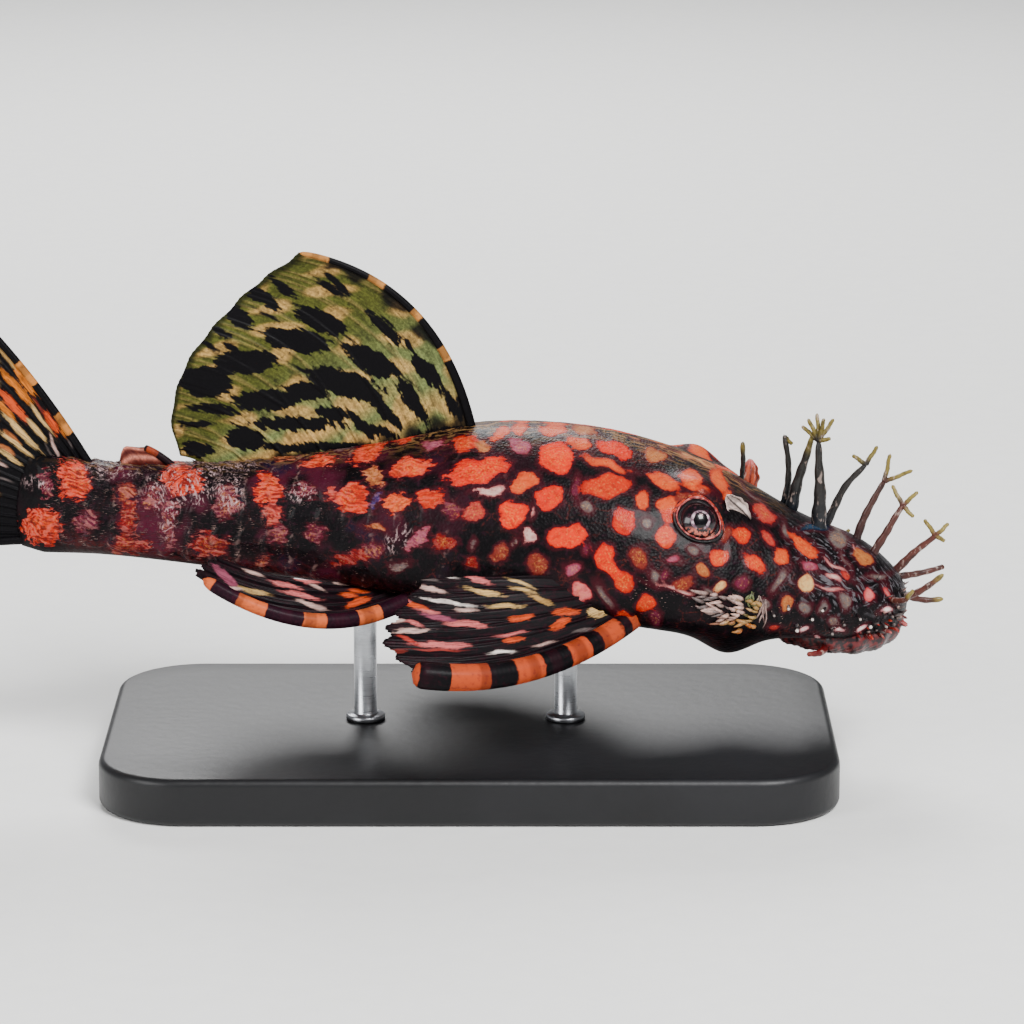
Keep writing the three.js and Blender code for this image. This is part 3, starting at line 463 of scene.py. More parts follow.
HEAD_SPOTS = [
    (655, 455, 13, 7, -10, TAN), (695, 449, 13, 5, -15, PEACH), (663, 481, 18, 7, -28, PEACH),
    (690, 478, 12, 8, -25, PEACH), (719, 480, 13, 7, -65, PEACH), (668, 504, 11, 9, 0, PEACH),
    (666, 537, 11, 10.5, 0, SALMON), (741, 535, 8.5, 9.5, 0, EMBER), (768, 538, 9.5, 6, -65, ROSE),
    (763, 513, 14, 7, -35, ROSE), (720, 557, 10, 9, -10, SALMON), (754, 563, 13, 8, -45, SALMON),
    (782, 556, 11, 7, -50, PEACH), (804, 546, 20, 7, -38, PEACH), (838, 539, 10, 8, -50, GREY),
    (864, 557, 11, 8, -35, TAN), (807, 584, 8.5, 9, 0, CREAM), (786, 604, 6.5, 8, 0, TAN),
    (684, 583, 12, 7, 15, DUSKY), (678, 590, 21, 2, -14, PALE), (663, 577, 7, 4, 55, MAUVE),
    (695, 549, 7, 5, -20, GREY), (674, 560, 7.5, 4, 0, LILAC), (701, 570, 8, 5.5, -30, TAN),
    (721, 587, 6, 5, 0, CREAM), (710, 592, 7, 4.5, -20, GREY), (743, 582, 8, 7, 0, MAUVE),
    # Painted glints of the edge bristles along the lip line: the rose oval that ends the next line and the
    # white ovals on the two lines after it.
    (779, 581, 13, 4, 60, GREY), (763, 606, 6, 6, 0, GREY), (774, 627, 6, 3, 0, ROSE),
    (804, 629, 5, 3, 0, WHITE), (838, 631, 5, 2.2, 0, WHITE), (861, 628, 5.5, 3, 30, WHITE),
    (821, 640, 6.5, 3, -45, WHITE), (786, 646, 6, 3, -10, DUSKY), (845, 602, 9, 5.5, -65, GREY),
    (823, 609, 4, 7, 0, GREY), (806, 607, 7, 6, 0, GREY), (835, 620, 5, 5, 0, GREY),
    (868, 595, 6.5, 4.5, -50, PINK), (808, 566, 9, 5, -30, LILAC), (832, 577, 10, 3, -30, PALE),
    (845, 576, 6, 3.5, -20, ROSE), (836, 566, 14, 1.8, -36, PALE), (830, 588, 18, 1.6, -12, PALE),
    (845, 560, 13, 1.5, -62, GREY), (876, 576, 9, 2, 15, GREY), (727, 495, 5, 5, 0, PEACH),
    # The thin cream lines on the next two lines and the long tan line that starts the third run along the
    # back's crest: pale ridge edges with a painted highlight on them.
    (694, 487, 19, 2.4, -12, PEACH), (676, 449, 34, 1.8, -24, CREAM), (700, 461, 28, 1.6, -20, CREAM),
    (752, 494, 20, 1.5, -42, GREY), (618, 430, 26, 2.2, -20, CREAM), (657, 441, 20, 2, -22, CREAM),
    (530, 421, 52, 1.6, -1, TAN), (654, 575, 4, 8, 20, GREY), (657, 618, 6, 8, 0, MAUVE),
    # The teal streak on the next line is a painted blue reflection on the skin at the bristles' roots.
    (786, 532, 3, 9, 20, GREY), (815, 528, 17, 3.2, 4, TEAL_REFLECTION), (690, 497, 22, 5, 12, DUSKY),
    (668, 516, 7, 10, -30, EMBER), (728, 534, 5, 9, -30, DUSKY), (878, 576, 9, 3, 10, GREY),
    # The white oval that ends the next line is a painted glint of an edge bristle too.
    (889, 592, 8, 2.4, -62, PINK), (857, 552, 9, 1.5, -55, PALE), (886, 610, 6, 3, 30, WHITE),
]
SKIN_SPOTS = TRUNK_SPOTS + TAIL_SPOTS + HEAD_SPOTS
# Patches of white bristle-like strokes over the tail's plates, painted glints of their spines, as ellipses
# of the same kind
SPINE_GLINT_PATCHES = [
    (186, 486, 36, 17, 5, WHITE), (232, 494, 11, 16, 0, WHITE), (222, 464, 22, 5, 0, WHITE),
    (168, 512, 9, 20, 0, WHITE), (110, 471, 18, 5, 0, WHITE), (302, 494, 10, 8, 0, WHITE),
    (398, 540, 12, 7, 50, WHITE), (36, 484, 7, 3, -15, WHITE),
]
# Depth in millimetres far outside every mark, and the depth that a mark loses where it isn't shown
NO_MARK = -9.0
WITHHELD = 3.0
# In pixels: the left flank's drift, how spots and fin marks waver, and the half width that frays in full
DRIFT = 13.0
WAVER = 1.7
FIN_WAVER = 0.6
BROAD = 7.0


def deepest(layers, count):
    """The greatest depth among layers of marks at each point, with that mark's colour and fraying."""
    depth = np.full(count, NO_MARK)
    colour = np.zeros((count, 3))
    frayed = np.ones(count)
    for inside, tone, fray in layers:
        nearer = inside > depth
        depth[nearer] = inside[nearer]
        colour[nearer] = tone
        frayed[nearer] = fray
    return depth, colour, frayed


def seen_marks(points, marks, waver=WAVER):
    """How deep each point lies in the nearest mark, in millimetres, less than 0 outside, the mark's
    colour, and the share of fraying that its outline takes. Sine waves make the ellipses uneven.
    The left flank carries the right one's marks, moved about by slower waves."""
    place = in_picture(to_seen_side(points))
    far_side = smooth(points[..., 1], 0.0, 4.0)[..., None]
    phase = points[..., [2, 0]] / [5.0, 9.0]
    place = place + DRIFT * far_side * np.sin(phase + [1.3, 0.4])
    place = place + waver * np.sin(place[:, ::-1] / 4.6 + 1.6 * np.sin(place / 9.0))

    def ellipse(across, down, half_long, half_wide, tilt, tone):
        lean = math.radians(tilt)
        x, y = place[:, 0] - across, place[:, 1] - down
        lengthways = (x * math.cos(lean) - y * math.sin(lean)) / half_long
        sideways = (x * math.sin(lean) + y * math.cos(lean)) / half_wide
        narrow = min(half_long, half_wide)
        return (1 - np.hypot(lengthways, sideways)) * narrow * PIXEL, tone, min(narrow, BROAD) / BROAD

    return deepest((ellipse(*mark) for mark in marks), len(points))


HIDDEN_SPOTS = 420
HIDDEN_GAP = 2.5
HIDDEN_TONES = np.array([DUSKY, TAN, SALMON, MAUVE])


def hidden_marks(points):
    """Small round spots on what the camera doesn't see: balls about points strewn over the skin,
    less those that lie nearer than the gap to an earlier one."""
    draw = draws("hidden spots")
    back = STANDARD_LENGTH * draw.random(HIDDEN_SPOTS) ** 0.9
    share = 0.55 + 0.45 * draw.random(HIDDEN_SPOTS)
    middles = on_skin(back, share, drawn_sides(draw, HIDDEN_SPOTS))
    sizes = uneven(draw, HIDDEN_SPOTS, 0.6, 0.9)
    tones = HIDDEN_TONES[draw.integers(0, len(HIDDEN_TONES), HIDDEN_SPOTS)]
    apart = np.linalg.norm(middles[:, None] - middles[None], axis=2)
    kept = ~np.any(np.tril(apart < HIDDEN_GAP, -1), axis=1)
    balls = zip(middles[kept], sizes[kept], tones[kept])
    layers = ((size - np.linalg.norm(points - middle, axis=1), tone, 1.0) for middle, size, tone in balls)
    return deepest(layers, len(points))


def skin_marks(points, normals):
    """Depth, colour and fraying of the skin's marks: the photo's where the camera would see the
    surface or its mirror image, and hidden spots where the surface turns away from it."""
    seen = smooth(-(to_seen_side(normals) @ VIEW), 0.02, 0.16)
    depth, colour, frayed = seen_marks(points, SKIN_SPOTS)
    far_depth, far_colour, far_frayed = hidden_marks(points)
    depth = depth - (1 - seen) * WITHHELD
    far_depth = far_depth - seen * WITHHELD
    hidden = far_depth > depth
    colour = np.where(hidden[:, None], far_colour, colour)
    return np.maximum(depth, far_depth), colour, np.where(hidden, far_frayed, frayed)


# Bony plates: rows a side between mid-back and belly, and the relief that they give the skin
PLATES_FROM = 30.0
PLATES_TO = 88.4
PLATE_COLUMNS = 22
PLATE_LENGTH = (PLATES_TO - PLATES_FROM) / PLATE_COLUMNS
PLATE_ROWS = np.array([0, 0.17, 0.34, 0.5, 0.64, 0.76])
PLATES_FADE_IN = (29.4, 32.0)
PLATES_FADE_OUT = (88.2, 89.4)
PLATE_LIFT = 0.27
ROW_CROWN = 0.16
KEEL_LIFT = 0.09
KEEL_WIDTH = 0.13
PLATE_BOW = 0.42
STEP_SHARE = 0.13


def row_phase(share):
    """How far down its row a point of the flank lies, 0 to 1, and 1 where there are no plates."""
    row = np.clip(np.searchsorted(PLATE_ROWS, share, side="right") - 1, 0, len(PLATE_ROWS) - 2)
    phase = (share - PLATE_ROWS[row]) / (PLATE_ROWS[row + 1] - PLATE_ROWS[row])
    return np.clip(phase, 0, 1)


def plated(back, share):
    """1 where the body has plates, fading out at the nape, the tail fin and the belly."""
    lengthways = smooth(back, *PLATES_FADE_IN) * (1 - smooth(back, *PLATES_FADE_OUT))
    return lengthways * (1 - smooth(share, PLATE_ROWS[-1] - 0.005, PLATE_ROWS[-1] + 0.01))


def plate_relief(back, share):
    """Lift of the plates: a ramp that rises to each rear edge and drops to the next plate, a crown
    over each row, and a low keel along its middle."""
    phase = row_phase(share)
    column = (back - PLATES_FROM) / PLATE_LENGTH % 1
    ramp = np.where(column < 1 - STEP_SHARE, column / (1 - STEP_SHARE), (1 - column) / STEP_SHARE)
    strength = 0.1 + 0.75 * smooth(back, 48, 80)
    crown = ROW_CROWN * (np.sin(np.pi * phase) - 0.5) + KEEL_LIFT * bell(phase, 0.5, KEEL_WIDTH)
    return plated(back, share) * strength * (crown + PLATE_LIFT * ramp)


# The head's hollows: where they lie, their sizes and depths, and how round an orbit stays in height
ORBIT_REACH = 2.85
ORBIT_HEIGHT = 0.8
ORBIT_DEPTH = 0.8
NOSTRIL_BACK = 17.5
NOSTRIL_SHARE = 0.2
NOSTRIL_RADIUS = 0.55
NOSTRIL_DEPTH = 0.7
GILL_SLIT_BACK = 28.6
GILL_SLIT_WIDTH = 0.32
GILL_SLIT_DEPTH = 0.55


def reach_from(back, share, at_back, at_share, height=1.0):
    """Distance over the skin from a place on it, with the flank share turned into millimetres and
    divided by the height that a round form there keeps of its width."""
    flank = np.interp(back, TABLE_BACKS, SECTION_LENGTHS)
    return np.hypot(back - at_back, (share - at_share) * flank / height)


def head_relief(back, share):
    """Hollows of the orbits and nostrils, the gill slit's groove, and soft folds over the cheek."""
    orbit = reach_from(back, share, EYE_BACK, EYE_SHARE, ORBIT_HEIGHT)
    nostril = reach_from(back, share, NOSTRIL_BACK, NOSTRIL_SHARE)
    slit = bell(back - 0.5 * np.sin(20 * share), GILL_SLIT_BACK, GILL_SLIT_WIDTH)
    slit_ends = smooth(share, 0.58, 0.63) * (1 - smooth(share, 0.79, 0.84))
    cheek = bell(back, 17, 9) * bell(share, 0.45, 0.22)
    folds = 0.07 * cheek * np.sin(2.1 * back + 14 * share) * np.sin(26 * share - 0.7 * back)
    socket = ORBIT_DEPTH * (1 - smooth(orbit, ORBIT_REACH - 0.85, ORBIT_REACH - 0.15))
    nostril_hollow = NOSTRIL_DEPTH * bell(nostril, 0, NOSTRIL_RADIUS)
    return folds - socket - nostril_hollow - GILL_SLIT_DEPTH * slit * slit_ends


# The skin's mesh: rings of each stretch, the steps over a plate, and points down each row and the belly
SNOUT_TIP = 0.002
SNOUT_LENGTH = 2.0
SNOUT_RINGS = 22
HEAD_RINGS = 130
ROOT_RINGS = 8
PLATE_STEPS = np.array([0, 0.13, 0.28, 0.44, 0.6, 0.75, 0.86, 0.93, 0.965])
ROW_POINTS = (21, 21, 20, 17, 15)
BELLY_POINTS = 19


def skin_rows():
    """Distances back of the skin's rings: closest at the snout tip and at each plate's rear edge."""
    snout = SNOUT_LENGTH * np.linspace(0, 1, SNOUT_RINGS)[1:] ** 2
    head = np.linspace(SNOUT_LENGTH, PLATES_FROM, HEAD_RINGS)[1:-1]
    starts = PLATES_FROM + PLATE_LENGTH * np.arange(PLATE_COLUMNS)
    plates = (starts[:, None] + PLATE_LENGTH * PLATE_STEPS).reshape(-1)
    root = np.linspace(PLATES_TO, STANDARD_LENGTH, ROOT_RINGS)
    return np.concatenate([[SNOUT_TIP], snout, head, plates, root])


def skin_shares():
    """Flank shares of the skin's points: even in each plate row, with the rows' edges among them."""
    rows = zip(PLATE_ROWS[:-1], PLATE_ROWS[1:], ROW_POINTS)
    flank = [np.linspace(top, bottom, count, endpoint=False) for top, bottom, count in rows]
    return np.concatenate(flank + [np.linspace(PLATE_ROWS[-1], 1, BELLY_POINTS)])


# The wedge at the tail's root: its length, the steps along it, and the share of the width at its end
TAIL_WEDGE = 3.3
WEDGE_STEPS = np.array([0.1, 0.25, 0.42, 0.6, 0.76, 0.88, 0.96, 1.0])[:, None]
WEDGE_END = 0.12


def tail_wedge(ring):
    """Rings past the tail's root, which hold the tail fin's rays: the skin's last ring moved back,
    least at its top and bottom, and drawn in across by a power curve to a thin wedge."""
    girth = STATIONS[-1, 1]
    height = (ring[:, 2] - girth) / 5
    return np.stack([
        ring[:, 0] - TAIL_WEDGE * WEDGE_STEPS * (1 - 0.25 * height**2),
        ring[:, 1] * (WEDGE_END + (1 - WEDGE_END) * (1 - WEDGE_STEPS**1.5)),
        girth + (ring[:, 2] - girth) * (1 - 0.06 * WEDGE_STEPS),
    ], axis=-1)


def skin_shape():
    """The whole skin: rings from mid-back down the right flank and up the left, from the snout tip
    to the wedge behind the tail's root, each point lifted by the head's and plates' relief."""
    down = skin_shares()
    share = np.concatenate([down, down[-2:0:-1]])[None, :]
    side = np.concatenate([np.full(len(down), -1.0), np.full(len(down) - 2, 1.0)])[None, :]
    ring_back = skin_rows()[:, None]
    bow = PLATE_BOW * np.sin(np.pi * row_phase(share)) * plated(ring_back, share)
    lift = plate_relief(ring_back, share) + head_relief(ring_back, share)
    points = on_skin(ring_back + bow, share, side, lift)
    normals = skin_normal(ring_back + bow, share, np.broadcast_to(side, bow.shape))
    wedge = tail_wedge(points[-1])
    points = np.concatenate([points, wedge])
    normals = np.concatenate([normals, np.repeat(normals[-1:], len(wedge), axis=0)])
    ring_back = np.concatenate([ring_back, np.full((len(wedge), 1), STANDARD_LENGTH)])
    depth, colour, frayed = skin_marks(points.reshape(-1, 3), normals.reshape(-1, 3))
    # Where the painted glints of the tail's spines lie
    frost = seen_marks(points.reshape(-1, 3), SPINE_GLINT_PATCHES)[0] / 2.0 + 0.3
    column = (ring_back - PLATES_FROM) / PLATE_LENGTH % 1
    edge = plated(ring_back, share) * bell(column, 0.93, 0.1)
    shape = points.shape[:2]
    upper = 1 - smooth(share, 0.42, 0.6)
    zones = {
        "plate_edge": edge,
        "tailward": smooth(ring_back, 30, 75),
        "tail_end": smooth(ring_back, 86, 90),
        "belly": smooth(share, 0.72, 0.84),
        "snout": (1 - smooth(ring_back, 9, 17)) * upper,
        "crest": smooth(ring_back, 12, 20) * bell(share, 0, 0.09),
        "rim": smooth(ring_back, 45, 62) * bell(share, 0.74, 0.06),
    }
    return tube(
        points,
        spot_depth=depth.reshape(shape),
        spot_colour=colour.reshape(shape + (3,)),
        spot_fray=frayed.reshape(shape),
        frost=frost.reshape(shape),
        **{name: np.broadcast_to(zone, shape) for name, zone in zones.items()},
    )


def skin_unwrap(back, share, side):
    """Places on a flat unwrap of the skin, slit along the belly: length across, flanks up and down."""
    return np.stack([0.02 + 0.96 * back / STANDARD_LENGTH, 0.5 + 0.47 * side * share], axis=-1)


SPINE_SINK = 0.12
SPINE_SIDES = 3


def spine_coat(back, share, side, length, rise, width):
    """Small tooth-like spines rooted on the skin, each a cone of few faces that points tailwards
    and outwards by its rise, with the colour of the mark that it stands on."""
    lift = plate_relief(back, share) + head_relief(back, share)
    root = on_skin(back, share, side, lift)
    normal = skin_normal(back, share, side)
    tailward = unit(on_skin(back + 0.1, share, side) - on_skin(back - 0.1, share, side))
    way = unit(tailward + rise[:, None] * normal)
    foot = root - SPINE_SINK * normal
    paths = np.stack([foot, foot + way * (length + SPINE_SINK)[:, None]], axis=1)
    radii = np.repeat(width[:, None], 2, axis=1)
    depth, colour, _ = skin_marks(root, normal)
    ground = blended(PLUM, PALE * 0.55, smooth(np.sin(back * 3.1) * np.sin(share * 40 + back), 0.2, 0.9))
    tone = blended(ground, colour * 1.15 + 0.01, smooth(depth, -0.25, 0.05))
    tone = np.repeat(tone[:, None], 2, axis=1)
    return rods(paths, radii, SPINE_SIDES, uv=skin_unwrap(back, share, side), tint=tone)


EDGE_SPINES = 13
STREWN_SPINES = 13000
HEAD_SPINES = 5200


def plate_spines():
    """Spines of the plates: a fringe along every rear edge, and others strewn over the plates."""
    draw = draws("plate spines")
    counts = (PLATE_COLUMNS, len(PLATE_ROWS) - 1, EDGE_SPINES)
    column, row, place = (np.tile(a.reshape(-1), 2) for a in np.indices(counts))
    side = np.repeat([-1.0, 1.0], len(column) // 2)
    phase = (place + draw.random(len(column))) / EDGE_SPINES
    share = PLATE_ROWS[row] + phase * (PLATE_ROWS[row + 1] - PLATE_ROWS[row])
    back = PLATES_FROM + PLATE_LENGTH * (column + 0.9) + PLATE_BOW * np.sin(np.pi * phase) * 0.5
    tailward = smooth(back, 40, 75)
    length = (0.14 + 0.36 * tailward) * uneven(draw, len(column))
    rise = uneven(draw, len(column), 0.25, 0.3)
    fringe = spine_coat(back, share, side, length, rise, 0.05 + 0.02 * tailward)
    side = drawn_sides(draw, STREWN_SPINES)
    back = PLATES_FROM + (STANDARD_LENGTH - PLATES_FROM) * draw.random(STREWN_SPINES) ** 0.62
    share = PLATE_ROWS[-1] * draw.random(STREWN_SPINES)
    length = (0.1 + 0.32 * smooth(back, 40, 75)) * uneven(draw, STREWN_SPINES)
    rise = uneven(draw, STREWN_SPINES, 0.3, 0.3)
    return joined([fringe, spine_coat(back, share, side, length, rise, np.full(STREWN_SPINES, 0.045))])


def head_spines():
    """Finer spines strewn over the head but for its orbits and nostrils, longest along the cheeks."""
    draw = draws("head spines")
    side = drawn_sides(draw, HEAD_SPINES)
    back = uneven(draw, HEAD_SPINES, 0.8, 29.5)
    share = 0.04 + 0.58 * draw.random(HEAD_SPINES) ** 0.7
    away = np.minimum(
        reach_from(back, share, EYE_BACK, EYE_SHARE, ORBIT_HEIGHT) - ORBIT_REACH,
        reach_from(back, share, NOSTRIL_BACK, NOSTRIL_SHARE) - 1.2,
    )
    kept = away > 0
    back, share, side = back[kept], share[kept], side[kept]
    edge = bell(share, 0.55, 0.07)
    length = (0.1 + 0.22 * edge) * uneven(draw, len(back))
    rise = uneven(draw, len(back), 0.35, 0.4)
    return spine_coat(back, share, side, length, rise, 0.035 + 0.02 * edge)


# Cheeks: where their spines start, how many spines and strands, and the rods' steps, sides and radii
CHEEK_BACK = 16.6
CHEEK_SHARE = 0.52
CHEEK_SPINES = 66
CHEEK_STRANDS = 16
CHEEK_STEPS = 12
STRAND_STEPS = 16
CHEEK_SIDES = 8
CHEEK_SPINE_RADIUS = 0.23
STRAND_RADIUS = 0.1


def cheek_colours(column, row, kind):
    """Colours of a cheek's spines by their place: white behind and above, amber below, and dull
    green ahead, each with some draw of its own."""
    amber = smooth(row + 0.5 * kind, 1.4, 1.9) * (1 - smooth(column, 2.4, 3.4))
    white = smooth(column + 1.4 * kind, 1.6, 2.8)
    green = blended(OLIVE, SAND, 0.5 + 0.5 * np.sin(9 * kind))
    tone = blended(green, blended(GREY, PALE, smooth(kind, 0.1, 0.8)), white)
    return blended(tone, blended(GOLD * 0.6, SAND, smooth(kind, 0.2, 0.7)), amber)


def cheek_fan(draw, side):
    """The stout spines of one cheek, fanned back from it: each runs straight but for a square's bend,
    bulges out from the skin by a sine, and is as thick as a power of a sine, with a dark root."""
    column = 5.0 * draw.random(CHEEK_SPINES) ** 1.3
    row = 2.7 * draw.random(CHEEK_SPINES) * (1 - 0.11 * column) - 0.1
    back = CHEEK_BACK + 1.15 * column - 0.6
    share = CHEEK_SHARE + 0.042 * row
    sides = np.full(CHEEK_SPINES, side)
    normal = skin_normal(back, share, sides)
    root = on_skin(back, share, sides)
    length = (1.1 + 0.2 * column) * uneven(draw, CHEEK_SPINES, 0.5)
    tilt = 0.8 * (draw.random(CHEEK_SPINES) - 0.5) + 0.25 - 0.1 * row
    out = uneven(draw, CHEEK_SPINES, 0.1, 0.3)
    way = unit(np.stack([-np.ones_like(row), side * out, tilt], axis=-1))
    along = np.linspace(0, 1, CHEEK_STEPS)[None, :, None]
    reach = length[:, None, None]
    bend = (0.7 * draw.random((CHEEK_SPINES, 1, 1)) - 0.25) * reach * along**2
    hook = np.array([0.3, side * 0.1, -0.6]) * bend
    bulge = normal[:, None] * (0.32 * np.sin(np.pi * along) - 0.4 * (1 - along) ** 3)
    paths = root[:, None] + way[:, None] * reach * along + hook + bulge
    spindle = np.sin(np.pi * (0.2 + 0.78 * along[..., 0]) ** 0.9) ** 0.7
    radii = CHEEK_SPINE_RADIUS * spindle * uneven(draw, (CHEEK_SPINES, 1), 0.55, 0.6)
    tone = cheek_colours(column, row, draw.random(CHEEK_SPINES))
    tone = np.repeat(tone[:, None], CHEEK_STEPS, axis=1)
    tint = blended(UMBER, tone, smooth(along[..., 0] + 0 * radii, 0.1, 0.4))
    return rods(paths, radii, CHEEK_SIDES, uv=skin_unwrap(back, share, sides), tint=tint)


def cheek_strands(draw, side):
    """Thin strands on one cheek ahead of its spines, which run down the skin in slow sine waves."""
    along = np.linspace(0, 1, STRAND_STEPS)[None, :]
    first = np.sort(draw.random((CHEEK_STRANDS, 1)))
    back = CHEEK_BACK - 1.3 + 2.4 * first + (0.9 * draw.random((CHEEK_STRANDS, 1)) - 0.3) * along
    back = back + 0.12 * np.sin(7 * along + 20 * first)
    share = CHEEK_SHARE - 0.035 + 0.03 * draw.random((CHEEK_STRANDS, 1))
    share = share + (0.03 + 0.08 * draw.random((CHEEK_STRANDS, 1)) * (1 - first)) * along
    paths = on_skin(back, share, side, 0.16 * np.sin(np.pi * along) - 0.08)
    radii = STRAND_RADIUS * np.sqrt(np.sin(np.pi * (0.1 + 0.88 * along))) * (0.7 + 0.5 * first)
    tone = blended(blended(GREY, PALE, 0.5), SAGE, smooth(first, 0.3, 0.7))
    tint = blended(tone, UMBER, 0.6 * (np.sin(9 * along + 30 * first) > 0.5))
    places = skin_unwrap(back[:, 0], share[:, 0], side)
    return rods(paths, radii, CHEEK_SIDES, uv=places, tint=tint)


def cheek_spines():
    """Spines and strands of both cheeks, drawn alike."""
    shapes = []
    for side in SIDES.values():
        draw = draws("cheeks")
        shapes += [cheek_fan(draw, side), cheek_strands(draw, side)]
    return joined(shapes)


# Branched bristles: each stem's joints from its sunk root, the tips of its branches, the root's radius
BRISTLES = [
    ([(27.3, 4.8, 12.2), (27.1, 4.7, 15.0), (26.8, 4.5, 17.8)], [], 0.26),
    ([(31.6, 3.0, 11.2), (31.9, 3.2, 15.2), (30.9, 3.6, 19.2)], [(31.9, 3.7, 18.2)], 0.4),
    ([(32.3, 1.6, 10.8), (32.8, 1.2, 15.0), (33.6, 0.2, 20.2)], [], 0.74),
    (
        [(35.4, -0.8, 9.4), (34.9, -0.6, 15.0), (34.2, -0.3, 20.0)],
        [(32.4, 0.9, 20.9), (32.9, 0.2, 21.9), (33.8, 0.5, 22.5), (34.5, -0.7, 22.3),
         (35.5, -0.9, 22.4), (35.4, -1.1, 20.3)],
        0.95,
    ),
    ([(35.8, 1.2, 9.2), (37.5, 1.6, 14.2), (39.8, 2.2, 17.4)], [(38.1, 2.0, 18.1), (40.7, 2.7, 19.2)], 0.52),
    ([(39.2, 0.4, 8.4), (40.3, 0.5, 12.8), (41.7, 0.5, 16.2)], [(41.9, 0.6, 19.0), (44.4, 0.0, 17.6)], 0.52),
    (
        [(40.9, -1.0, 7.6), (42.4, -1.0, 11.2), (43.8, -1.0, 14.2)],
        [(45.1, -0.8, 15.6), (42.4, 0.1, 15.8), (44.9, -1.7, 13.0)],
        0.52,
    ),
    (
        [(43.2, 0.3, 5.8), (45.4, 0.3, 8.5), (47.8, 0.3, 11.0)],
        [(46.2, 0.1, 12.5), (48.9, 0.7, 12.2), (48.6, -0.4, 10.5)],
        0.52,
    ),
    ([(43.9, -0.8, 3.9), (46.5, -0.8, 4.9), (48.9, -0.8, 7.1)], [], 0.44),
    ([(43.8, 2.0, 4.1), (47.2, 2.3, 3.3), (49.6, 2.4, 3.6)], [], 0.4),
    ([(43.0, 3.0, 5.0), (46.8, 4.2, 5.6), (49.5, 5.2, 6.4)], [(49.4, 6.2, 6.0)], 0.44),
    ([(42.0, -3.4, 4.8), (43.6, -5.4, 4.9), (44.8, -6.8, 5.5)], [(45.2, -7.2, 6.7)], 0.4),
    ([(36.6, 5.4, 6.2), (37.6, 7.8, 7.0), (38.8, 9.6, 7.4)], [(39.6, 10.0, 8.2)], 0.44),
]
BRISTLE_TIP = 0.27
BRISTLE_STEPS = 34
BRANCH_STEPS = 16
BRISTLE_SIDES = 18
# Colours of a bristle's root, middle and tip, on the forehead and at the snout's tip
FOREHEAD_TONES = (paint(14, 20, 28), paint(30, 28, 26), paint(104, 90, 36))
MUZZLE_TONES = (paint(52, 20, 18), paint(74, 34, 26), paint(120, 104, 48))


def bristle(stem, root_radius, tip_radius, colours, steps=BRISTLE_STEPS):
    """One fleshy rod along a smooth curve: its radius narrows evenly, swells and shrinks a little
    in slow waves, and rounds off at the tip. Its colour runs from the root's to the tip's."""
    share = np.linspace(0, 1, steps)
    path = curve_through(stem, share)
    waves = [np.sin(9 * share + stem[0][0]), np.cos(7 * share + stem[0][1]), 0 * share]
    path = path + 0.05 * np.stack(waves, axis=-1) * (share * (1 - share) * 4)[:, None]
    radius = root_radius + (tip_radius - root_radius) * share
    radius = radius * (1 + 0.07 * np.sin(31 * share + stem[0][0] * 3))
    radius = radius * np.sqrt(np.clip(1 - ((share - 0.9) / 0.1).clip(0) ** 2, 0, 1))
    root_colour, middle_colour, tip_colour = colours
    tint = blended(root_colour, middle_colour, smooth(share, 0.05, 0.5))
    tint = blended(tint, tip_colour, smooth(share, 0.72, 0.95))
    return rods(path[None], radius[None], BRISTLE_SIDES, tint=tint[None])


def bristle_shapes():
    """All branched bristles, greyer on the forehead and redder at the snout tip, with olive tips."""
    shapes = []
    for stem, tips, root_radius in BRISTLES:
        forward = smooth(np.array(stem[0][0]), 35.0, 43.0)
        tones = zip(FOREHEAD_TONES, MUZZLE_TONES)
        root, middle, tip = (blended(behind, ahead, forward) for behind, ahead in tones)
        shapes.append(bristle(stem, root_radius, BRISTLE_TIP, (root, middle, middle if tips else tip)))
        head = np.array(stem[-1])
        inward = unit(np.array(stem[-2]) - head)
        for end in tips:
            bend = (head + np.array(end)) / 2 + 0.12 * inward
            branch = [tuple(head + 0.25 * inward), tuple(bend), end]
            tones = (middle, tip, tip)
            shapes.append(bristle(branch, BRISTLE_TIP, BRISTLE_TIP * 0.7, tones, BRANCH_STEPS))
    return joined(shapes)


EDGE_BRISTLES = 11
EDGE_BRISTLE_STEPS = 14


def edge_bristles():
    """Short simple bristles in a row along each edge of the snout, standing out and a little down."""
    shapes = []
    for side in SIDES.values():
        draw = draws("edge bristles")
        sides = np.array([side])
        for i in range(EDGE_BRISTLES):
            back = np.array([1.6 + 1.25 * i + 0.7 * draw.random()])
            share = np.array([0.5 + 0.035 * (i % 3) + 0.03 * draw.random()])
            root = on_skin(back, share, sides)[0]
            normal = skin_normal(back, share, sides)[0]
            way = unit(0.8 * normal + [0.5 - draw.random(), 0, -0.2 - 0.3 * draw.random()])
            length = 0.5 + 0.5 * draw.random()
            stem = [root - 0.5 * way, root + 0.5 * length * way, root + length * way + [-0.1, 0, 0.1]]
            tones = (BLACK, UMBER, blended(GREY, WHITE, draw.random()))
            radius = 0.16 + 0.1 * draw.random()
            joints = [tuple(joint) for joint in stem]
            shapes.append(bristle(joints, radius, radius * 0.7, tones, EDGE_BRISTLE_STEPS))
    return joined(shapes)


TUFTS = 64
TUFT_STEPS = 9
TUFT_SIDES = 8
TUFT_RADIUS = 0.16


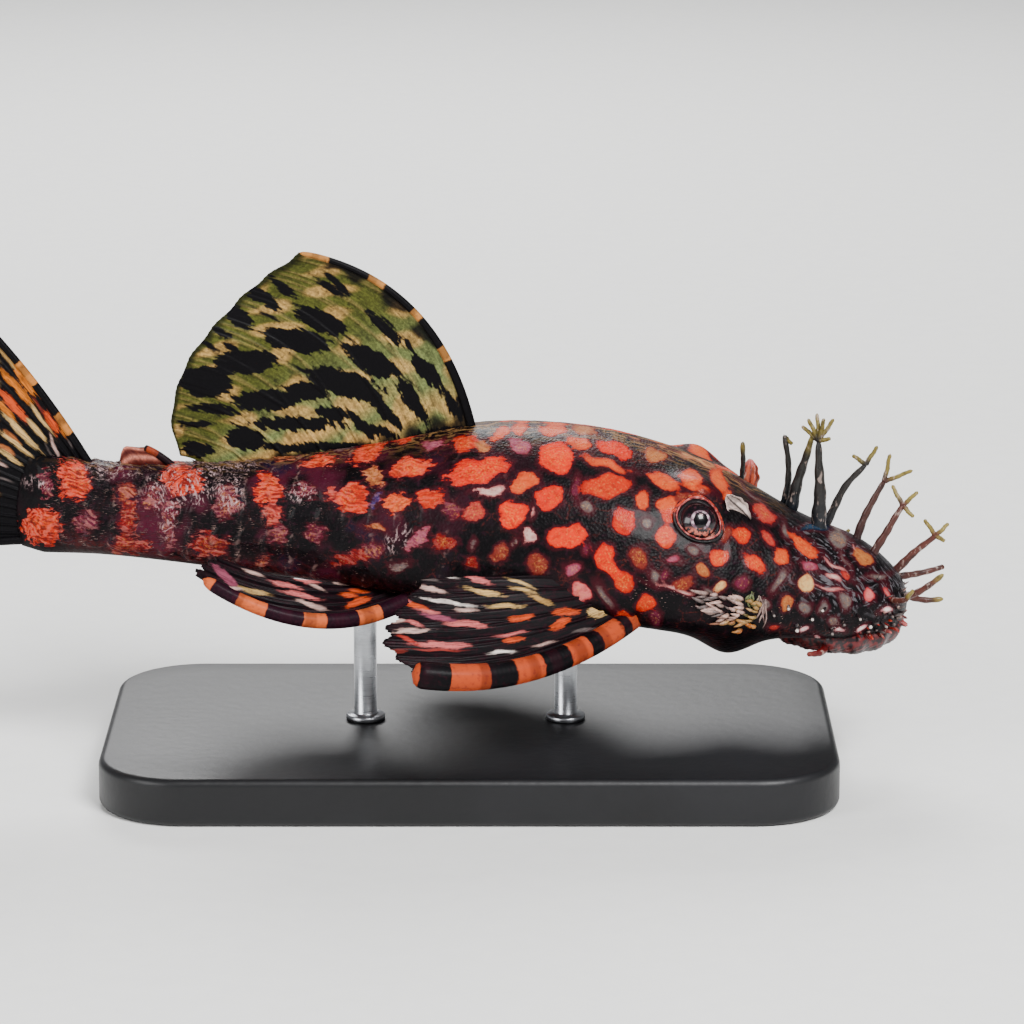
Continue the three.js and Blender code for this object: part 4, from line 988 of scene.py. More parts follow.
def snout_tufts():
    """Small fleshy tufts on the snout's front: rods strewn over it that lean forwards and up, as
    thick as a half ellipse, their tips paler."""
    draw = draws("snout tufts")
    back = 0.5 + 4.2 * draw.random(TUFTS) ** 1.3
    share = uneven(draw, TUFTS, 0.3, 0.32)
    side = drawn_sides(draw, TUFTS)
    root = on_skin(back, share, side)
    normal = skin_normal(back, share, side)
    upward = 0.5 * draw.random(TUFTS)[:, None] * np.array([0.0, 0.0, 1.0])
    way = unit(normal + [0.3, 0, 0.1] + upward)
    length = (0.3 + 0.9 * draw.random(TUFTS) ** 2)[:, None, None]
    along = np.linspace(-0.35, 1, TUFT_STEPS)[None, :, None]
    paths = root[:, None] + way[:, None] * length * along + np.array([0.0, 0.0, 0.15]) * along**2
    thick = np.sqrt(np.clip(1 - along[..., 0] ** 2, 0, 1)) * uneven(draw, (TUFTS, 1), 0.5)
    warm = smooth(draw.random((TUFTS, 1)), 0.55, 0.95) * np.ones(TUFT_STEPS)
    tip = blended(blended(GREY, PALE, warm), PEACH, smooth(warm, 0.8, 1.0))
    tint = blended(UMBER, tip, smooth(along[..., 0] + 0 * warm, 0.2, 0.9))
    return rods(paths, TUFT_RADIUS * thick, TUFT_SIDES, tint=tint)


# The lip fringe: tongues, steps and sides, the radius of one, and the round that they stand on
TONGUES = 46
TONGUE_STEPS = 10
TONGUE_SIDES = 10
TONGUE_RADIUS = 0.24
FRINGE_X = 36.6
FRINGE_REACH = 7.6


def lip_fringe():
    """Fleshy fringes along the front of the upper lip: short tongues in two uneven rows on an arc,
    which hang forwards and are as thick as a half ellipse."""
    draw = draws("lip fringe")
    turn = np.linspace(-1.15, 1.15, TONGUES) + 0.03 * draw.standard_normal(TONGUES)
    row = np.arange(TONGUES) % 2
    reach = FRINGE_REACH - 0.5 * row
    height = 1.3 + 0.9 * row + 0.6 * np.cos(turn)
    start = np.stack([FRINGE_X + reach * np.cos(turn), reach * np.sin(turn), height], axis=-1)
    length = uneven(draw, TONGUES, 0.9, 1.0) * (0.55 + 0.45 * np.cos(turn))
    way = unit(np.stack([np.cos(turn), np.sin(turn), uneven(draw, TONGUES, -0.35, 0.5)], axis=-1))
    along = np.linspace(0, 1, TONGUE_STEPS)[None, :, None]
    droop = np.array([0.0, 0.0, -0.35]) * along**2 * draw.random((TONGUES, 1, 1))
    paths = start[:, None] + way[:, None] * (length[:, None, None] + 0.5) * along + droop
    thick = np.sqrt(np.clip(1 - along[..., 0] ** 2, 0, 1)) * uneven(draw, (TONGUES, 1), 0.5)
    pale = draw.random((TONGUES, 1)) * np.ones(TONGUE_STEPS)
    tip = blended(RED * 0.7, blended(EMBER, PINK, smooth(pale, 0.8, 1.0)), smooth(pale, 0.35, 0.8))
    tint = blended(RED * 0.25, tip, smooth(along[..., 0] + 0 * pale, 0.35, 1.0))
    return rods(paths, TONGUE_RADIUS * thick, TONGUE_SIDES, tint=tint)


# Eyes: balls sunk in sockets under a low dome, in rings of folded skin
EYE_RADIUS = 2.35
EYE_SINK = 1.25
EYE_RINGS = 96
EYE_BULGE = 0.035


def eye_frame(side):
    """Middle of an eyeball, the way it looks, and two ways across it."""
    sides = np.array([side])
    back, share = np.array([EYE_BACK]), np.array([EYE_SHARE])
    look = skin_normal(back, share, sides)[0]
    middle = on_skin(back, share, sides)[0] - EYE_SINK * look
    across = unit(np.cross(look, [0.0, 0.0, 1.0]))
    return middle, look, across, np.cross(across, look)


def eyeball(side):
    """A ball whose rings run out from the pupil, with a low bell-shaped bulge over the iris."""
    middle, look, across, up = eye_frame(side)
    polar = np.pi * np.linspace(0.004, 0.996, EYE_RINGS)[:, None]
    turn = 2 * np.pi * np.arange(EYE_RINGS)[None, :] / EYE_RINGS
    radius = EYE_RADIUS * (1 + EYE_BULGE * bell(polar, 0, 0.5))[..., None]
    spread = np.cos(turn)[..., None] * across + np.sin(turn)[..., None] * up
    points = middle + radius * (np.cos(polar)[..., None] * look + np.sin(polar)[..., None] * spread)
    off_axis = EYE_RADIUS * np.sin(np.minimum(polar, np.pi / 2)) * np.ones_like(turn)
    return tube(points, off_axis=off_axis, height=off_axis * np.sin(turn), beside=off_axis * np.cos(turn))


# Orbit: its hole's radius, the points out and round it, its underside, and each fold's reach, width and lift
ORBIT_HOLE = 1.56
ORBIT_OUT = 46
ORBIT_ROUND = 120
ORBIT_UNDER = -0.85
ORBIT_FOLDS = [(1.66, 0.08, 0.26), (1.92, 0.07, 0.16), (2.3, 0.13, 0.4), (2.6, 0.08, 0.12)]


def orbit_rings(side):
    """Folded skin round an eye: a ring carried round it on the skin, whose closed profile has a
    bell curve for each fold, and a flat underside sunk in the head."""
    out = np.linspace(ORBIT_HOLE, ORBIT_REACH, ORBIT_OUT)
    folds = sum(height * bell(out, reach, width) for reach, width, height in ORBIT_FOLDS)
    top = folds + 0.1 - 0.26 * smooth(out, 2.66, ORBIT_REACH)
    under = out[::-3]
    reach = np.concatenate([out, under])
    lift = np.concatenate([top, np.full(len(under), ORBIT_UNDER)])
    turn = 2 * np.pi * np.arange(ORBIT_ROUND)[:, None] / ORBIT_ROUND
    flank = np.interp(EYE_BACK, TABLE_BACKS, SECTION_LENGTHS)
    waver = 1 + 0.008 * np.sin(5 * turn + reach * 3)
    back = EYE_BACK + reach * waver * np.cos(turn)
    share = EYE_SHARE + ORBIT_HEIGHT * reach * waver * np.sin(turn) / flank
    points = on_skin(back, share, side, lift * (1 + 0.06 * np.sin(7 * turn + 2 * reach)))
    rows, columns = points.shape[:2]
    quads = grid_quads(rows + 1, columns, wrapped=True) % (rows * columns)
    values = {"reach": reach, "crest": np.concatenate([top, 0 * under]), "below": np.sin(turn)}
    spread = {name: np.broadcast_to(value, back.shape).reshape(-1) for name, value in values.items()}
    return Shape(points, quads, **spread).faced_out()


# Nostril flaps, by flank: how far back each stands and which way it rises
FLAP_BACKS = {-1.0: 18.6, 1.0: 17.1}
FLAP_WAYS = {-1.0: (-1.0, -0.35, 1.0), 1.0: (-0.1, 0.3, 1.0)}
FLAP_SHARE = 0.24
FLAP_LENGTH = 3.0
FLAP_STEPS = (34, 31)


def nostril_flap(side):
    """A thin leaf behind a nostril, seen flat from the flank: a sheet whose half width narrows as a
    power curve to a pointed top, cupped outwards, with two faces a small thickness apart."""
    foot = on_skin(np.array([FLAP_BACKS[side]]), np.array([FLAP_SHARE]), np.array([side]))[0]
    way = unit(np.array(FLAP_WAYS[side]))
    out = np.array([0.0, side, 0.0])
    beside = unit(np.cross(way, out))
    grid = np.linspace(-0.3, 1, FLAP_STEPS[0]), np.linspace(-1, 1, FLAP_STEPS[1])
    up, across = np.meshgrid(*grid, indexing="ij")
    half = (1 - np.clip(up, 0, 1) ** 2.6) ** 0.6 * smooth(up, -0.7, 0.45) + 0.02
    frill = 1 + 0.08 * np.sin(17 * up + 2 * side)
    cup = 0.35 * across**2 + 0.3 * up**2 + 0.1 * np.sin(5 * across + 3 * up)
    middle = foot + way * (FLAP_LENGTH * up)[..., None] + beside * (half * frill * across)[..., None]
    middle = middle + out * cup[..., None]
    shift = out * (0.13 - 0.06 * np.abs(across))[..., None]
    streak = smooth(np.sin(8.5 * across + 3.2 * up), 0.1, 0.8)
    if side < 0:
        edge = smooth(np.abs(across), 0.6, 0.95)
        tone = blended(blended(PALE, WHITE, 0.5), INK, 0.9 * streak * (1 - edge))
    else:
        tone = blended(blended(BAND, RED * 0.6, 0.8 * streak), PINK, smooth(up, 0.7, 1.0))
    tone = blended(tone, UMBER, 0.8 * smooth(0.12 - up, 0.0, 0.4))
    return closed_sheet(middle + shift, middle - shift, tint=tone)


# Sucker mouth: heights and shares of its size for the rings of its lips, from its hidden top
MOUTH_X = 38.2
MOUTH_LONG = 7.0
MOUTH_HALF = 7.7
MOUTH_RINGS = np.array([[1.5, 0.92], [0.3, 1.0], [-0.6, 0.98], [-1.3, 0.88], [-1.4, 0.7], [-1.05, 0.5],
                        [-0.9, 0.25], [-0.85, 0.02]])
LIP_LOBES = 15
MOUTH_STEPS = (78, 300)
BARBEL_STEPS = 18


def sucker_disc():
    """Round lips: an oval profile carried round the mouth with a lobed edge, set with rows of small
    bumps that fade towards the dark cleft in its middle."""
    line = np.concatenate([MOUTH_RINGS, np.zeros((len(MOUTH_RINGS), 1))], axis=1)
    profile = curve_through(line, np.linspace(0, 1, MOUTH_STEPS[0]))
    height, size = profile[:, :1], profile[:, 1:2]
    turn = 2 * np.pi * np.arange(MOUTH_STEPS[1])[None, :] / MOUTH_STEPS[1]
    lobe = 1 + 0.03 * np.cos(LIP_LOBES * turn) * smooth(size, 0.7, 0.85)
    x = MOUTH_LONG * size * lobe * np.cos(turn)
    y = MOUTH_HALF * size * lobe * np.sin(turn)
    z = height + 0.35 * np.sin(turn) ** 2 + 1.5 * (size * np.maximum(np.cos(turn), 0)) ** 2
    bumps = np.sin(48 * turn + 3 * np.sin(30 * size)) * np.sin(34 * np.pi * size)
    under = smooth(-height, 0.0, 0.6)
    cleft = bell(x, 0.4, 1.0) * bell(y, 0, 3.8) * under
    z = z + 0.07 * bumps * under * (1 - cleft) + 0.75 * cleft
    points = np.stack([MOUTH_X + x, y, z], axis=-1)
    rim = smooth(size, 0.86, 1.0) * np.ones_like(turn)
    return tube(points, rim=rim, cleft=cleft, bumps=bumps * under)


def barbels():
    """The two short barbels at the mouth's corners, each a rod along a curve of three joints."""
    shapes = []
    for side in SIDES.values():
        root = np.array([MOUTH_X - 1.2, side * (MOUTH_HALF - 0.9), -0.1])
        stem = [root, root + [-0.6, side * 1.6, -0.5], root + [-2.1, side * 2.6, -0.6]]
        tones = (RED * 0.3, RED * 0.5, DUSKY)
        shapes.append(bristle([tuple(joint) for joint in stem], 0.48, 0.24, tones, BARBEL_STEPS))
    return joined(shapes)


# Fins. Marks are ellipses in the photo's pixels, as on the skin.
DORSAL_MARKS = [
    (328, 288, 22, 3.6, -30, INK), (337, 284, 19, 3.6, -40, INK), (385, 329, 27, 6.5, -42, INK),
    (320, 322, 28, 11, -24, INK), (426, 371, 22, 8.5, -50, INK), (371, 361, 30, 12, -28, INK),
    (297, 341, 35, 11.5, -10, INK), (346, 384, 42, 13, -16, INK), (248, 362, 33, 12, 2, INK),
    (206, 382, 27, 16, 0, INK), (267, 400, 35, 11, 2, INK), (307, 391, 24, 9, -8, INK),
    (386, 413, 24, 6, -42, INK), (360, 424, 20, 6, -40, INK), (412, 399, 25, 8.5, -56, INK),
    (452, 404, 22, 5.5, -58, INK), (296, 424, 50, 7, 0, INK), (334, 414, 16, 7, -10, INK),
    (216, 409, 24, 5.5, -8, INK), (246, 439, 20, 12, -10, INK), (197, 450, 17, 8, 0, INK),
    (194, 424, 20, 4, 0, INK), (286, 448, 30, 4.5, -4, INK), (335, 447, 45, 5, -2, INK),
    (380, 431, 22, 5, -20, INK), (445, 434, 34, 7, 8, INK), (466, 414, 18, 6, -65, INK),
    (283, 289, 18, 4.5, -38, INK), (262, 299, 22, 7, -32, INK), (240, 318, 18, 8, -30, INK),
    (222, 333, 12, 4, -30, INK), (232, 348, 14, 3, -30, INK), (207, 345, 12, 3, -30, INK),
    (408, 345, 8, 3, -60, INK), (305, 372, 22, 1.8, -28, INK), (350, 340, 26, 1.5, -34, INK),
    (400, 372, 20, 1.8, -45, INK), (270, 318, 18, 1.6, -28, INK),
]
PECTORAL_MARKS = [
    (387, 590, 8, 3, -25, PEACH), (402, 599, 15, 2.6, -26, PINK), (416, 606, 18, 2.6, -20, PEACH),
    (428, 611, 12, 2, -10, PINK), (447, 602, 26, 1.9, -9, WHITE), (467, 610, 12, 2, -5, PALE),
    (440, 618, 19, 2.8, -13, LILAC), (466, 624, 22, 3.6, -4, PINK), (394, 620, 11, 2.3, 0, PALE),
    (413, 623, 10, 2.1, -16, PINK), (410, 631, 19, 2.8, 3, PALE), (409, 640, 15, 2.3, -26, ROSE),
    (443, 645, 29, 3.2, -2, PINK), (436, 650, 22, 1.2, -2, ROSE), (427, 579, 12, 1.9, -12, GREY),
    (445, 575, 13, 1.7, -12, WHITE), (475, 578, 16, 3.2, -22, PINK), (484, 592, 19, 3, -12, CREAM),
    (432, 589, 15, 2.6, -15, PALE), (446, 566, 8, 2.2, -20, GREY), (506, 606, 18, 2.6, 0, CREAM),
    (521, 618, 13, 3.4, 5, PEACH), (512, 634, 16, 1.8, 8, PINK), (514, 640, 12, 2.7, 0, PEACH),
    (521, 583, 15, 1.9, -20, CREAM), (523, 590, 13, 2, -12, CREAM), (541, 600, 14, 3.2, -22, SAND),
    (566, 612, 14, 3.4, 4, PEACH), (560, 624, 11, 3.8, 30, PEACH), (597, 612, 10, 5.5, 10, CREAM),
    (502, 652, 12, 1.8, 5, WHITE), (585, 630, 12, 1.8, 10, GREY), (544, 644, 10, 1.3, 12, PALE),
    (392, 651, 14, 2.4, 0, DUSKY),
]
# Gold and cream strokes along the tail fin's rays, as far as the photo shows it
CAUDAL_MARKS = [
    (54, 445, 14, 1.6, -70, PALE), (40, 417, 20, 2, -54, CREAM), (17, 388, 24, 3.8, -47, GOLD),
    (36, 430, 16, 2.6, -50, CREAM), (13, 405, 22, 4.4, -48, PEACH), (21, 432, 25, 3.3, -45, CREAM),
    (16, 444, 20, 2.8, -40, CREAM), (9, 456, 15, 2.9, -33, CREAM), (0, 464, 8, 1.8, -20, PALE),
    (24, 377, 22, 6.5, -58, GOLD), (10, 364, 20, 2.2, -48, SAND), (52, 423, 15, 3.6, -62, PEACH),
    (61, 425, 12, 2.2, -68, GOLD), (39, 407, 12, 1.2, -55, DUSKY), (51, 454, 14, 1, -62, GREY),
    (12, 437, 11, 2.2, -40, TAN), (6, 449, 11, 2.4, -38, TAN), (6, 410, 13, 3, -48, GOLD),
    (70, 444, 5, 1.2, -70, GREY), (5, 480, 8, 1.2, -20, GREY),
]
PELVIC_MARKS = [
    (226, 577, 17, 4.3, -43, LILAC), (253, 573, 10, 1.8, -22, PALE), (302, 578, 17, 3.3, -18, PINK),
    (317, 587, 9, 1.4, -28, PALE), (286, 585, 17, 2.5, -14, PINK), (342, 583, 9, 2.3, -10, PALE),
    (359, 591, 10, 2.2, 0, PEACH), (348, 595, 9, 2.4, -10, PEACH), (301, 595, 19, 2.6, -12, PINK),
    (253, 591, 17, 2.5, -14, CREAM), (233, 589, 12, 2.2, 0, PALE), (311, 605, 15, 2.5, -18, PALE),
    (358, 602, 12, 3.6, 20, PEACH),
]


def fin_points(rays, u, v):
    """A fin's middle surface: for a share u from the first ray to the last and v from root to tip,
    a quadratic curve from the line of roots to the line of tips that bows between them."""
    roots, tips, bows = rays
    root = curve_through(roots, u[:, 0])[:, None]
    tip = curve_through(tips, u[:, 0])[:, None]
    bow = (np.array(bows[0]) * (1 - u) + np.array(bows[1]) * u)[:, None]
    bend = (root + tip) / 2 + 2 * bow
    v = v[..., None]
    return (1 - v) ** 2 * root + 2 * v * (1 - v) * bend + v**2 * tip


# Soft rays of each fin, where they fork and fork again, how far apart, their width and how it narrows
RAY_COUNTS = {"dorsal": 8, "adipose": 3, "caudal": 16, "anal": 5, "pectoral": 7, "pelvic": 6}
RAY_FORK = (0.3, 0.62)
RAY_SECOND_FORK = (0.58, 0.9)
RAY_BRANCH = 0.17
RAY_WIDTH = 0.17
RAY_TAPER = 0.06


def fin_web(rays, count, wave=None, notch=0.03, fray=0.012, columns=24, rows=84, web=0.12, ridge=0.26):
    """A fin's membrane and soft rays as one closed sheet. Its thickness is the web's plus a bell
    curve over each ray, which divides in two beyond its middle and in four towards the margin.
    The margin is drawn in between the rays."""
    u = np.linspace(0, 1, (count - 1) * columns + 1)[:, None]
    v = np.linspace(0, 1, rows)[None, :]
    from_first = u * (count - 1)
    aside = np.abs(from_first - np.round(from_first))
    frayed = fray * np.sin(57 * from_first) * np.sin(23 * u + 1)
    drawn = v * (1 - notch * np.sin(np.pi * from_first) ** 2 - np.abs(frayed))
    middle = fin_points(rays, u, drawn)
    if wave:
        middle = middle + np.stack([0 * drawn, wave(u, drawn), 0 * drawn], axis=-1)
    beside = np.gradient(middle, axis=0)
    lengthways = np.gradient(middle, axis=1)
    normal = unit(np.cross(beside, lengthways))
    spacing = np.linalg.norm(beside, axis=-1) * columns
    halves = np.abs(aside - RAY_BRANCH * smooth(v, *RAY_FORK))
    quarters = np.abs(halves - 0.45 * RAY_BRANCH * smooth(v, *RAY_SECOND_FORK))
    on_ray = bell(quarters * spacing, 0, RAY_WIDTH - RAY_TAPER * v)
    half = web * (1 - 0.45 * v) + ridge * (1 - 0.6 * v) * on_ray
    run = np.cumsum(np.linalg.norm(lengthways, axis=-1), axis=1)
    shift = normal * half[..., None]
    spread = from_first * np.ones_like(v)
    return closed_sheet(middle + shift, middle - shift, on_ray=on_ray, run=run, spread=spread,
                        out=v * np.ones_like(u))


# Stout outer rays: points round one, and the place of its fibres in the noise that runs over a fin
SPINE_ROUND = 20
SPINE_SPREAD = 9.0


def fin_spine(rays, root_radius, tip_radius, bands, tones, steps=70, shift=(0, 0, 0), blunt=0.06, u=0.0):
    """A fin's stout outer ray: a round rod along the first or last ray, whose radius runs evenly from
    root to tip, with the depth in millimetres that each point lies in a pale band."""
    v = np.linspace(0, 1, steps)[None, :]
    path = fin_points(rays, np.array([[u]]), v)
    path = path + np.array(shift) * (v**2)[..., None]
    radius = root_radius + (tip_radius - root_radius) * v
    radius = radius * np.sqrt(np.clip(1 - ((v - 1 + blunt) / blunt).clip(0) ** 2, 0, 1))
    run = np.cumsum(np.linalg.norm(np.gradient(path, axis=1), axis=-1), axis=1)
    depths = [np.minimum(v - start, end - v) for start, end in bands]
    mark = np.max(depths, axis=0) * run[0, -1] + 0.12 * np.sin(5 * run)
    one = np.ones_like(v)
    tint, colour = one[..., None] * tones[0], one[..., None] * tones[1]
    values = {"tint": tint, "mark_colour": colour, "mark": mark, "mark_fray": 0.6 * one}
    values.update(on_ray=0.55 * one, run=run, spread=SPINE_SPREAD * one)
    return rods(path, radius, SPINE_ROUND, **values)


def coloured(web, tint, marks):
    """A fin's web with its ground tint, and the depth, colour and fraying of the nearest mark. How
    far out each point lies has then done its work and is dropped."""
    depth, colour, frayed = seen_marks(web.points, marks, waver=FIN_WAVER)
    del web.values["out"]
    web.values.update(tint=tint, mark=depth, mark_colour=colour, mark_fray=frayed)
    return web


DORSAL_RAYS = (
    [(-1.3, 0, 16.2), (-9, 0, 13.2), (-17.5, 0, 10.6), (-26.4, 0, 8.9)],
    [(-21.2, 0, 33.8), (-26.6, 0, 28.6), (-31.4, 0, 21.8), (-32.7, 0, 15.2), (-31.4, 0, 11.0)],
    [(2.5, 0, 3.8), (0, 0, 0.6)],
)


DORSAL_BANDS = [(0.28, 0.335), (0.465, 0.51), (0.655, 0.725), (0.89, 1.05)]
DORSAL_WAVE = 0.9


def dorsal_wave(u, v):
    """How far the sail bends aside in millimetres: a sine along it that grows towards its margin."""
    return DORSAL_WAVE * v**2 * np.sin(2.4 * np.pi * u)


def dorsal_fin():
    """The raised sail: black at its foot, then sage and sand, and olive above, with dark blotches,
    and a dark spine with pale bands that cast bars between them onto the web."""
    web = fin_web(DORSAL_RAYS, RAY_COUNTS["dorsal"], wave=dorsal_wave, notch=0.01, fray=0.003)
    out, spread, on_ray, run = (web.values[n] for n in ("out", "spread", "on_ray", "run"))
    low = blended(SAND, SAGE, 0.5 + 0.5 * np.sin(1.7 * run + 2.3 * spread))
    high = blended(SAGE, OLIVE, smooth(out, 0.25, 0.65))
    tint = blended(low, high, smooth(out - 0.04 * spread, 0.0, 0.3))
    warm = np.sin(1.1 * run + 1.7 * spread + 0.8 * np.sin(4 * spread) + 2.0)
    warm = smooth(warm * np.sin(0.47 * run - 3.1 * spread + 0.6), 0.1, 0.7)
    tint = blended(blended(tint, SAND, 0.7 * warm), CREAM, 0.15 * on_ray)
    foot = 0.07 + 0.09 * smooth(spread, 2.5, 5.5) + 0.02 * np.sin(9 * spread)
    tint = blended(tint, INK, 0.95 * (1 - smooth(out - foot, 0.0, 0.05)))
    begun = [smooth(out, start - 0.02, start + 0.01) for start, _ in DORSAL_BANDS]
    ended = [smooth(out, end - 0.01, end + 0.02) for _, end in DORSAL_BANDS]
    barred = 1 - np.max(np.array(begun) * (1 - np.array(ended)), axis=0)
    beside_spine = 1 - smooth(spread + 0.1 * np.sin(40 * out), 0.2, 0.34)
    tint = blended(tint, INK, 0.95 * barred * beside_spine * smooth(out, 0.3, 0.36))
    tint = blended(tint, OLIVE * 0.3, smooth(out, 0.955, 0.985))
    coloured(web, tint, DORSAL_MARKS)
    spine = fin_spine(DORSAL_RAYS, 0.5, 0.3, DORSAL_BANDS, (INK, blended(SAND, GOLD, 0.4)))
    return joined([web, spine])


ADIPOSE_RAYS = (
    [(-31.0, 0, 9.2), (-34, 0, 8.6), (-36.6, 0, 8.2)],
    [(-35.2, 0, 11.7), (-37.3, 0, 11.5), (-37.6, 0, 10.2)],
    [(-0.2, 0, 0.4), (0, 0, 0)],
)


def adipose_fin():
    """The small fin on the tail's back: a short spine with a flap of skin, striped pale by two bell
    curves."""
    web = fin_web(ADIPOSE_RAYS, RAY_COUNTS["adipose"], columns=20, rows=34, web=0.2, ridge=0.1)
    out, spread = web.values["out"], web.values["spread"]
    across = out - 0.12 * spread
    stripe = np.clip(bell(across, 0.5, 0.09) + bell(across, 0.85, 0.08), 0, 1)
    coloured(web, blended(DUSKY * 0.3, blended(BAND, PALE, 0.35), 0.9 * stripe), [])
    spine = fin_spine(ADIPOSE_RAYS, 0.46, 0.34, [(0.6, 0.95)], (INK, BAND * 0.6), steps=30)
    return joined([web, spine])


CAUDAL_RAYS = (
    [(-40.2, 0, 8.6), (-42.8, 0, 7.2), (-43.8, 0, 4.6), (-43.8, 0, 2.4), (-43.0, 0, 1.0)],
    [(-61, 0, 29.2), (-64.6, 0, 18), (-67, 0, 5.6), (-71.2, 0, -6.4)],
    [(0.8, 0, 1.15), (-0.2, 0, 1.1)],
)
CAUDAL_WAVE = 1.5


def caudal_wave(u, v):
    """How far the tail fin bends aside: a wave down the fin that grows towards its margin."""
    return CAUDAL_WAVE * v**2 * np.cos(2.6 * np.pi * u)


def caudal_fin():
    """The tail fin: black at its root, with the photo's gold and cream strokes along the rays, and
    beyond the photo's edge strokes of the same kind, which sines break at uneven places."""
    web = fin_web(CAUDAL_RAYS, RAY_COUNTS["caudal"], wave=caudal_wave, notch=0.05, columns=16)
    out, spread, on_ray = (web.values[n] for n in ("out", "spread", "on_ray"))
    which = np.round(spread)
    branch = np.sign(spread - which)
    place = out + 0.04 * np.sin(2.7 * which) + 0.03 * np.sin(1.9 * which + 1) + 0.02 * branch - 0.016 * which
    light = smooth(place, 0.08, 0.14) * (1 - 0.9 * smooth(np.sin(21 * place + 2.1 * which), 0.2, 0.7))
    light = light * (1 - smooth(in_picture(web.points)[:, 0], -12, 2))
    tinted = light * smooth(on_ray, 0.0, 0.02)
    gold = blended(GOLD, BAND, 0.5 + 0.5 * np.sin(3.1 * which + 9 * out))
    gold = blended(gold, CREAM, smooth(on_ray, 0.02, 0.5))
    coloured(web, blended(INK, gold, tinted), TAIL_SPOTS + CAUDAL_MARKS)
    bands = [(0.15, 0.235), (0.36, 0.46), (0.62, 0.74), (0.86, 0.94)]
    tones = (INK, blended(GOLD, SAND, 0.4))
    aside = caudal_wave(np.array([0.0, 1.0]), 1.0)
    upper = fin_spine(CAUDAL_RAYS, 0.46, 0.3, bands, tones, shift=(0, aside[0], 0))
    lower = fin_spine(CAUDAL_RAYS, 0.5, 0.34, bands[2:], tones, shift=(0, aside[1], 0), u=1.0)
    return joined([web, upper, lower])


ANAL_RAYS = (
    [(-15.4, 0, 1.2), (-17.4, 0, 1.2), (-19.6, 0, 1.2)],
    [(-25.0, 0, -2.8), (-26.6, 0, -2.4), (-27.8, 0, -1.1)],
    [(0, 0, -0.6), (0, 0, -0.3)],
)


def anal_fin():
    """The small fin under the tail: a web of five rays, dark but for their pale outer parts."""
    web = fin_web(ANAL_RAYS, RAY_COUNTS["anal"], columns=20, rows=50)
    pale = web.values["on_ray"] * smooth(web.values["out"], 0.3, 0.6)
    return coloured(web, blended(INK, TAN, 0.8 * pale), [])


def mirrored_rays(rays, side):
    """Paired fins are drawn as (ahead, out, up), and their out is turned to one side."""
    return tuple([(x, side * out, up) for x, out, up in line] for line in rays)


PECTORAL_RAYS = (
    [(17.4, 10.6, 2.4), (15.6, 10.6, 3.8), (13.4, 10.4, 5.0)],
    [(-5.4, 24, -2.8), (-8.6, 21.4, -0.8), (-8.0, 18.4, 1.2), (-5.4, 14.6, 4.4)],
    [(0.7, 2.6, -1.9), (0, 0.9, 0.8)],
)


def pectoral_fin(side):
    """A breast fin: a stout spine, thicker at its tip and banded orange and black, and a black web
    with pink, cream, white and orange streaks along its rays."""
    rays = mirrored_rays(PECTORAL_RAYS, side)
    web = fin_web(rays, RAY_COUNTS["pectoral"])
    coloured(web, blended(INK, UMBER, 0.4 * web.values["on_ray"]), PECTORAL_MARKS)
    bands = [(-0.1, 0.08), (0.12, 0.21), (0.26, 0.355), (0.465, 0.585), (0.7, 0.855), (0.975, 1.1)]
    return joined([web, fin_spine(rays, 1.15, 1.42, bands, (INK, BAND), blunt=0.05)])


PELVIC_RAYS = (
    [(-5.6, 6.4, 0.6), (-8, 5.4, 0.6), (-10, 4.2, 0.6)],
    [(-27.4, 13, 1.8), (-28.4, 10.8, 2.0), (-26.6, 6.8, 2.6)],
    [(0.8, 3.0, -2.7), (0, 2.0, -0.4)],
)


def pelvic_fin(side):
    """A belly fin: a banded spine and a black web with the photo's pale and orange streaks."""
    rays = mirrored_rays(PELVIC_RAYS, side)
    web = fin_web(rays, RAY_COUNTS["pelvic"])
    coloured(web, blended(INK, UMBER, 0.6 * web.values["on_ray"]), PELVIC_MARKS)
    bands = [(0.19, 0.3), (0.45, 0.555), (0.725, 0.845), (0.95, 1.1)]
    tones = (blended(INK, PLUM, 0.4), blended(PEACH, CREAM, 0.15))
    return joined([web, fin_spine(rays, 0.88, 0.68, bands, tones)])


# Stand, in world millimetres
BASE_LONG = 76.0
BASE_WIDE = 44.0
BASE_HIGH = 5.0
BASE_CORNER = 9.0
BASE_BEVEL = 0.8
BASE_TOP_INSET = 4.0
CORNER_STEPS = 15
BEVEL_STEPS = 9
ROD_RADIUS = 1.2
ROD_SINK = 2.2
ROD_SIDES = 64
COLLAR_RADIUS = 2.05
COLLAR_HIGH = 0.62
COLLAR_ROUNDING = 0.12
ROD_GAP = 0.02
ROD_PLACES = {"front": 10.0, "rear": -11.0}


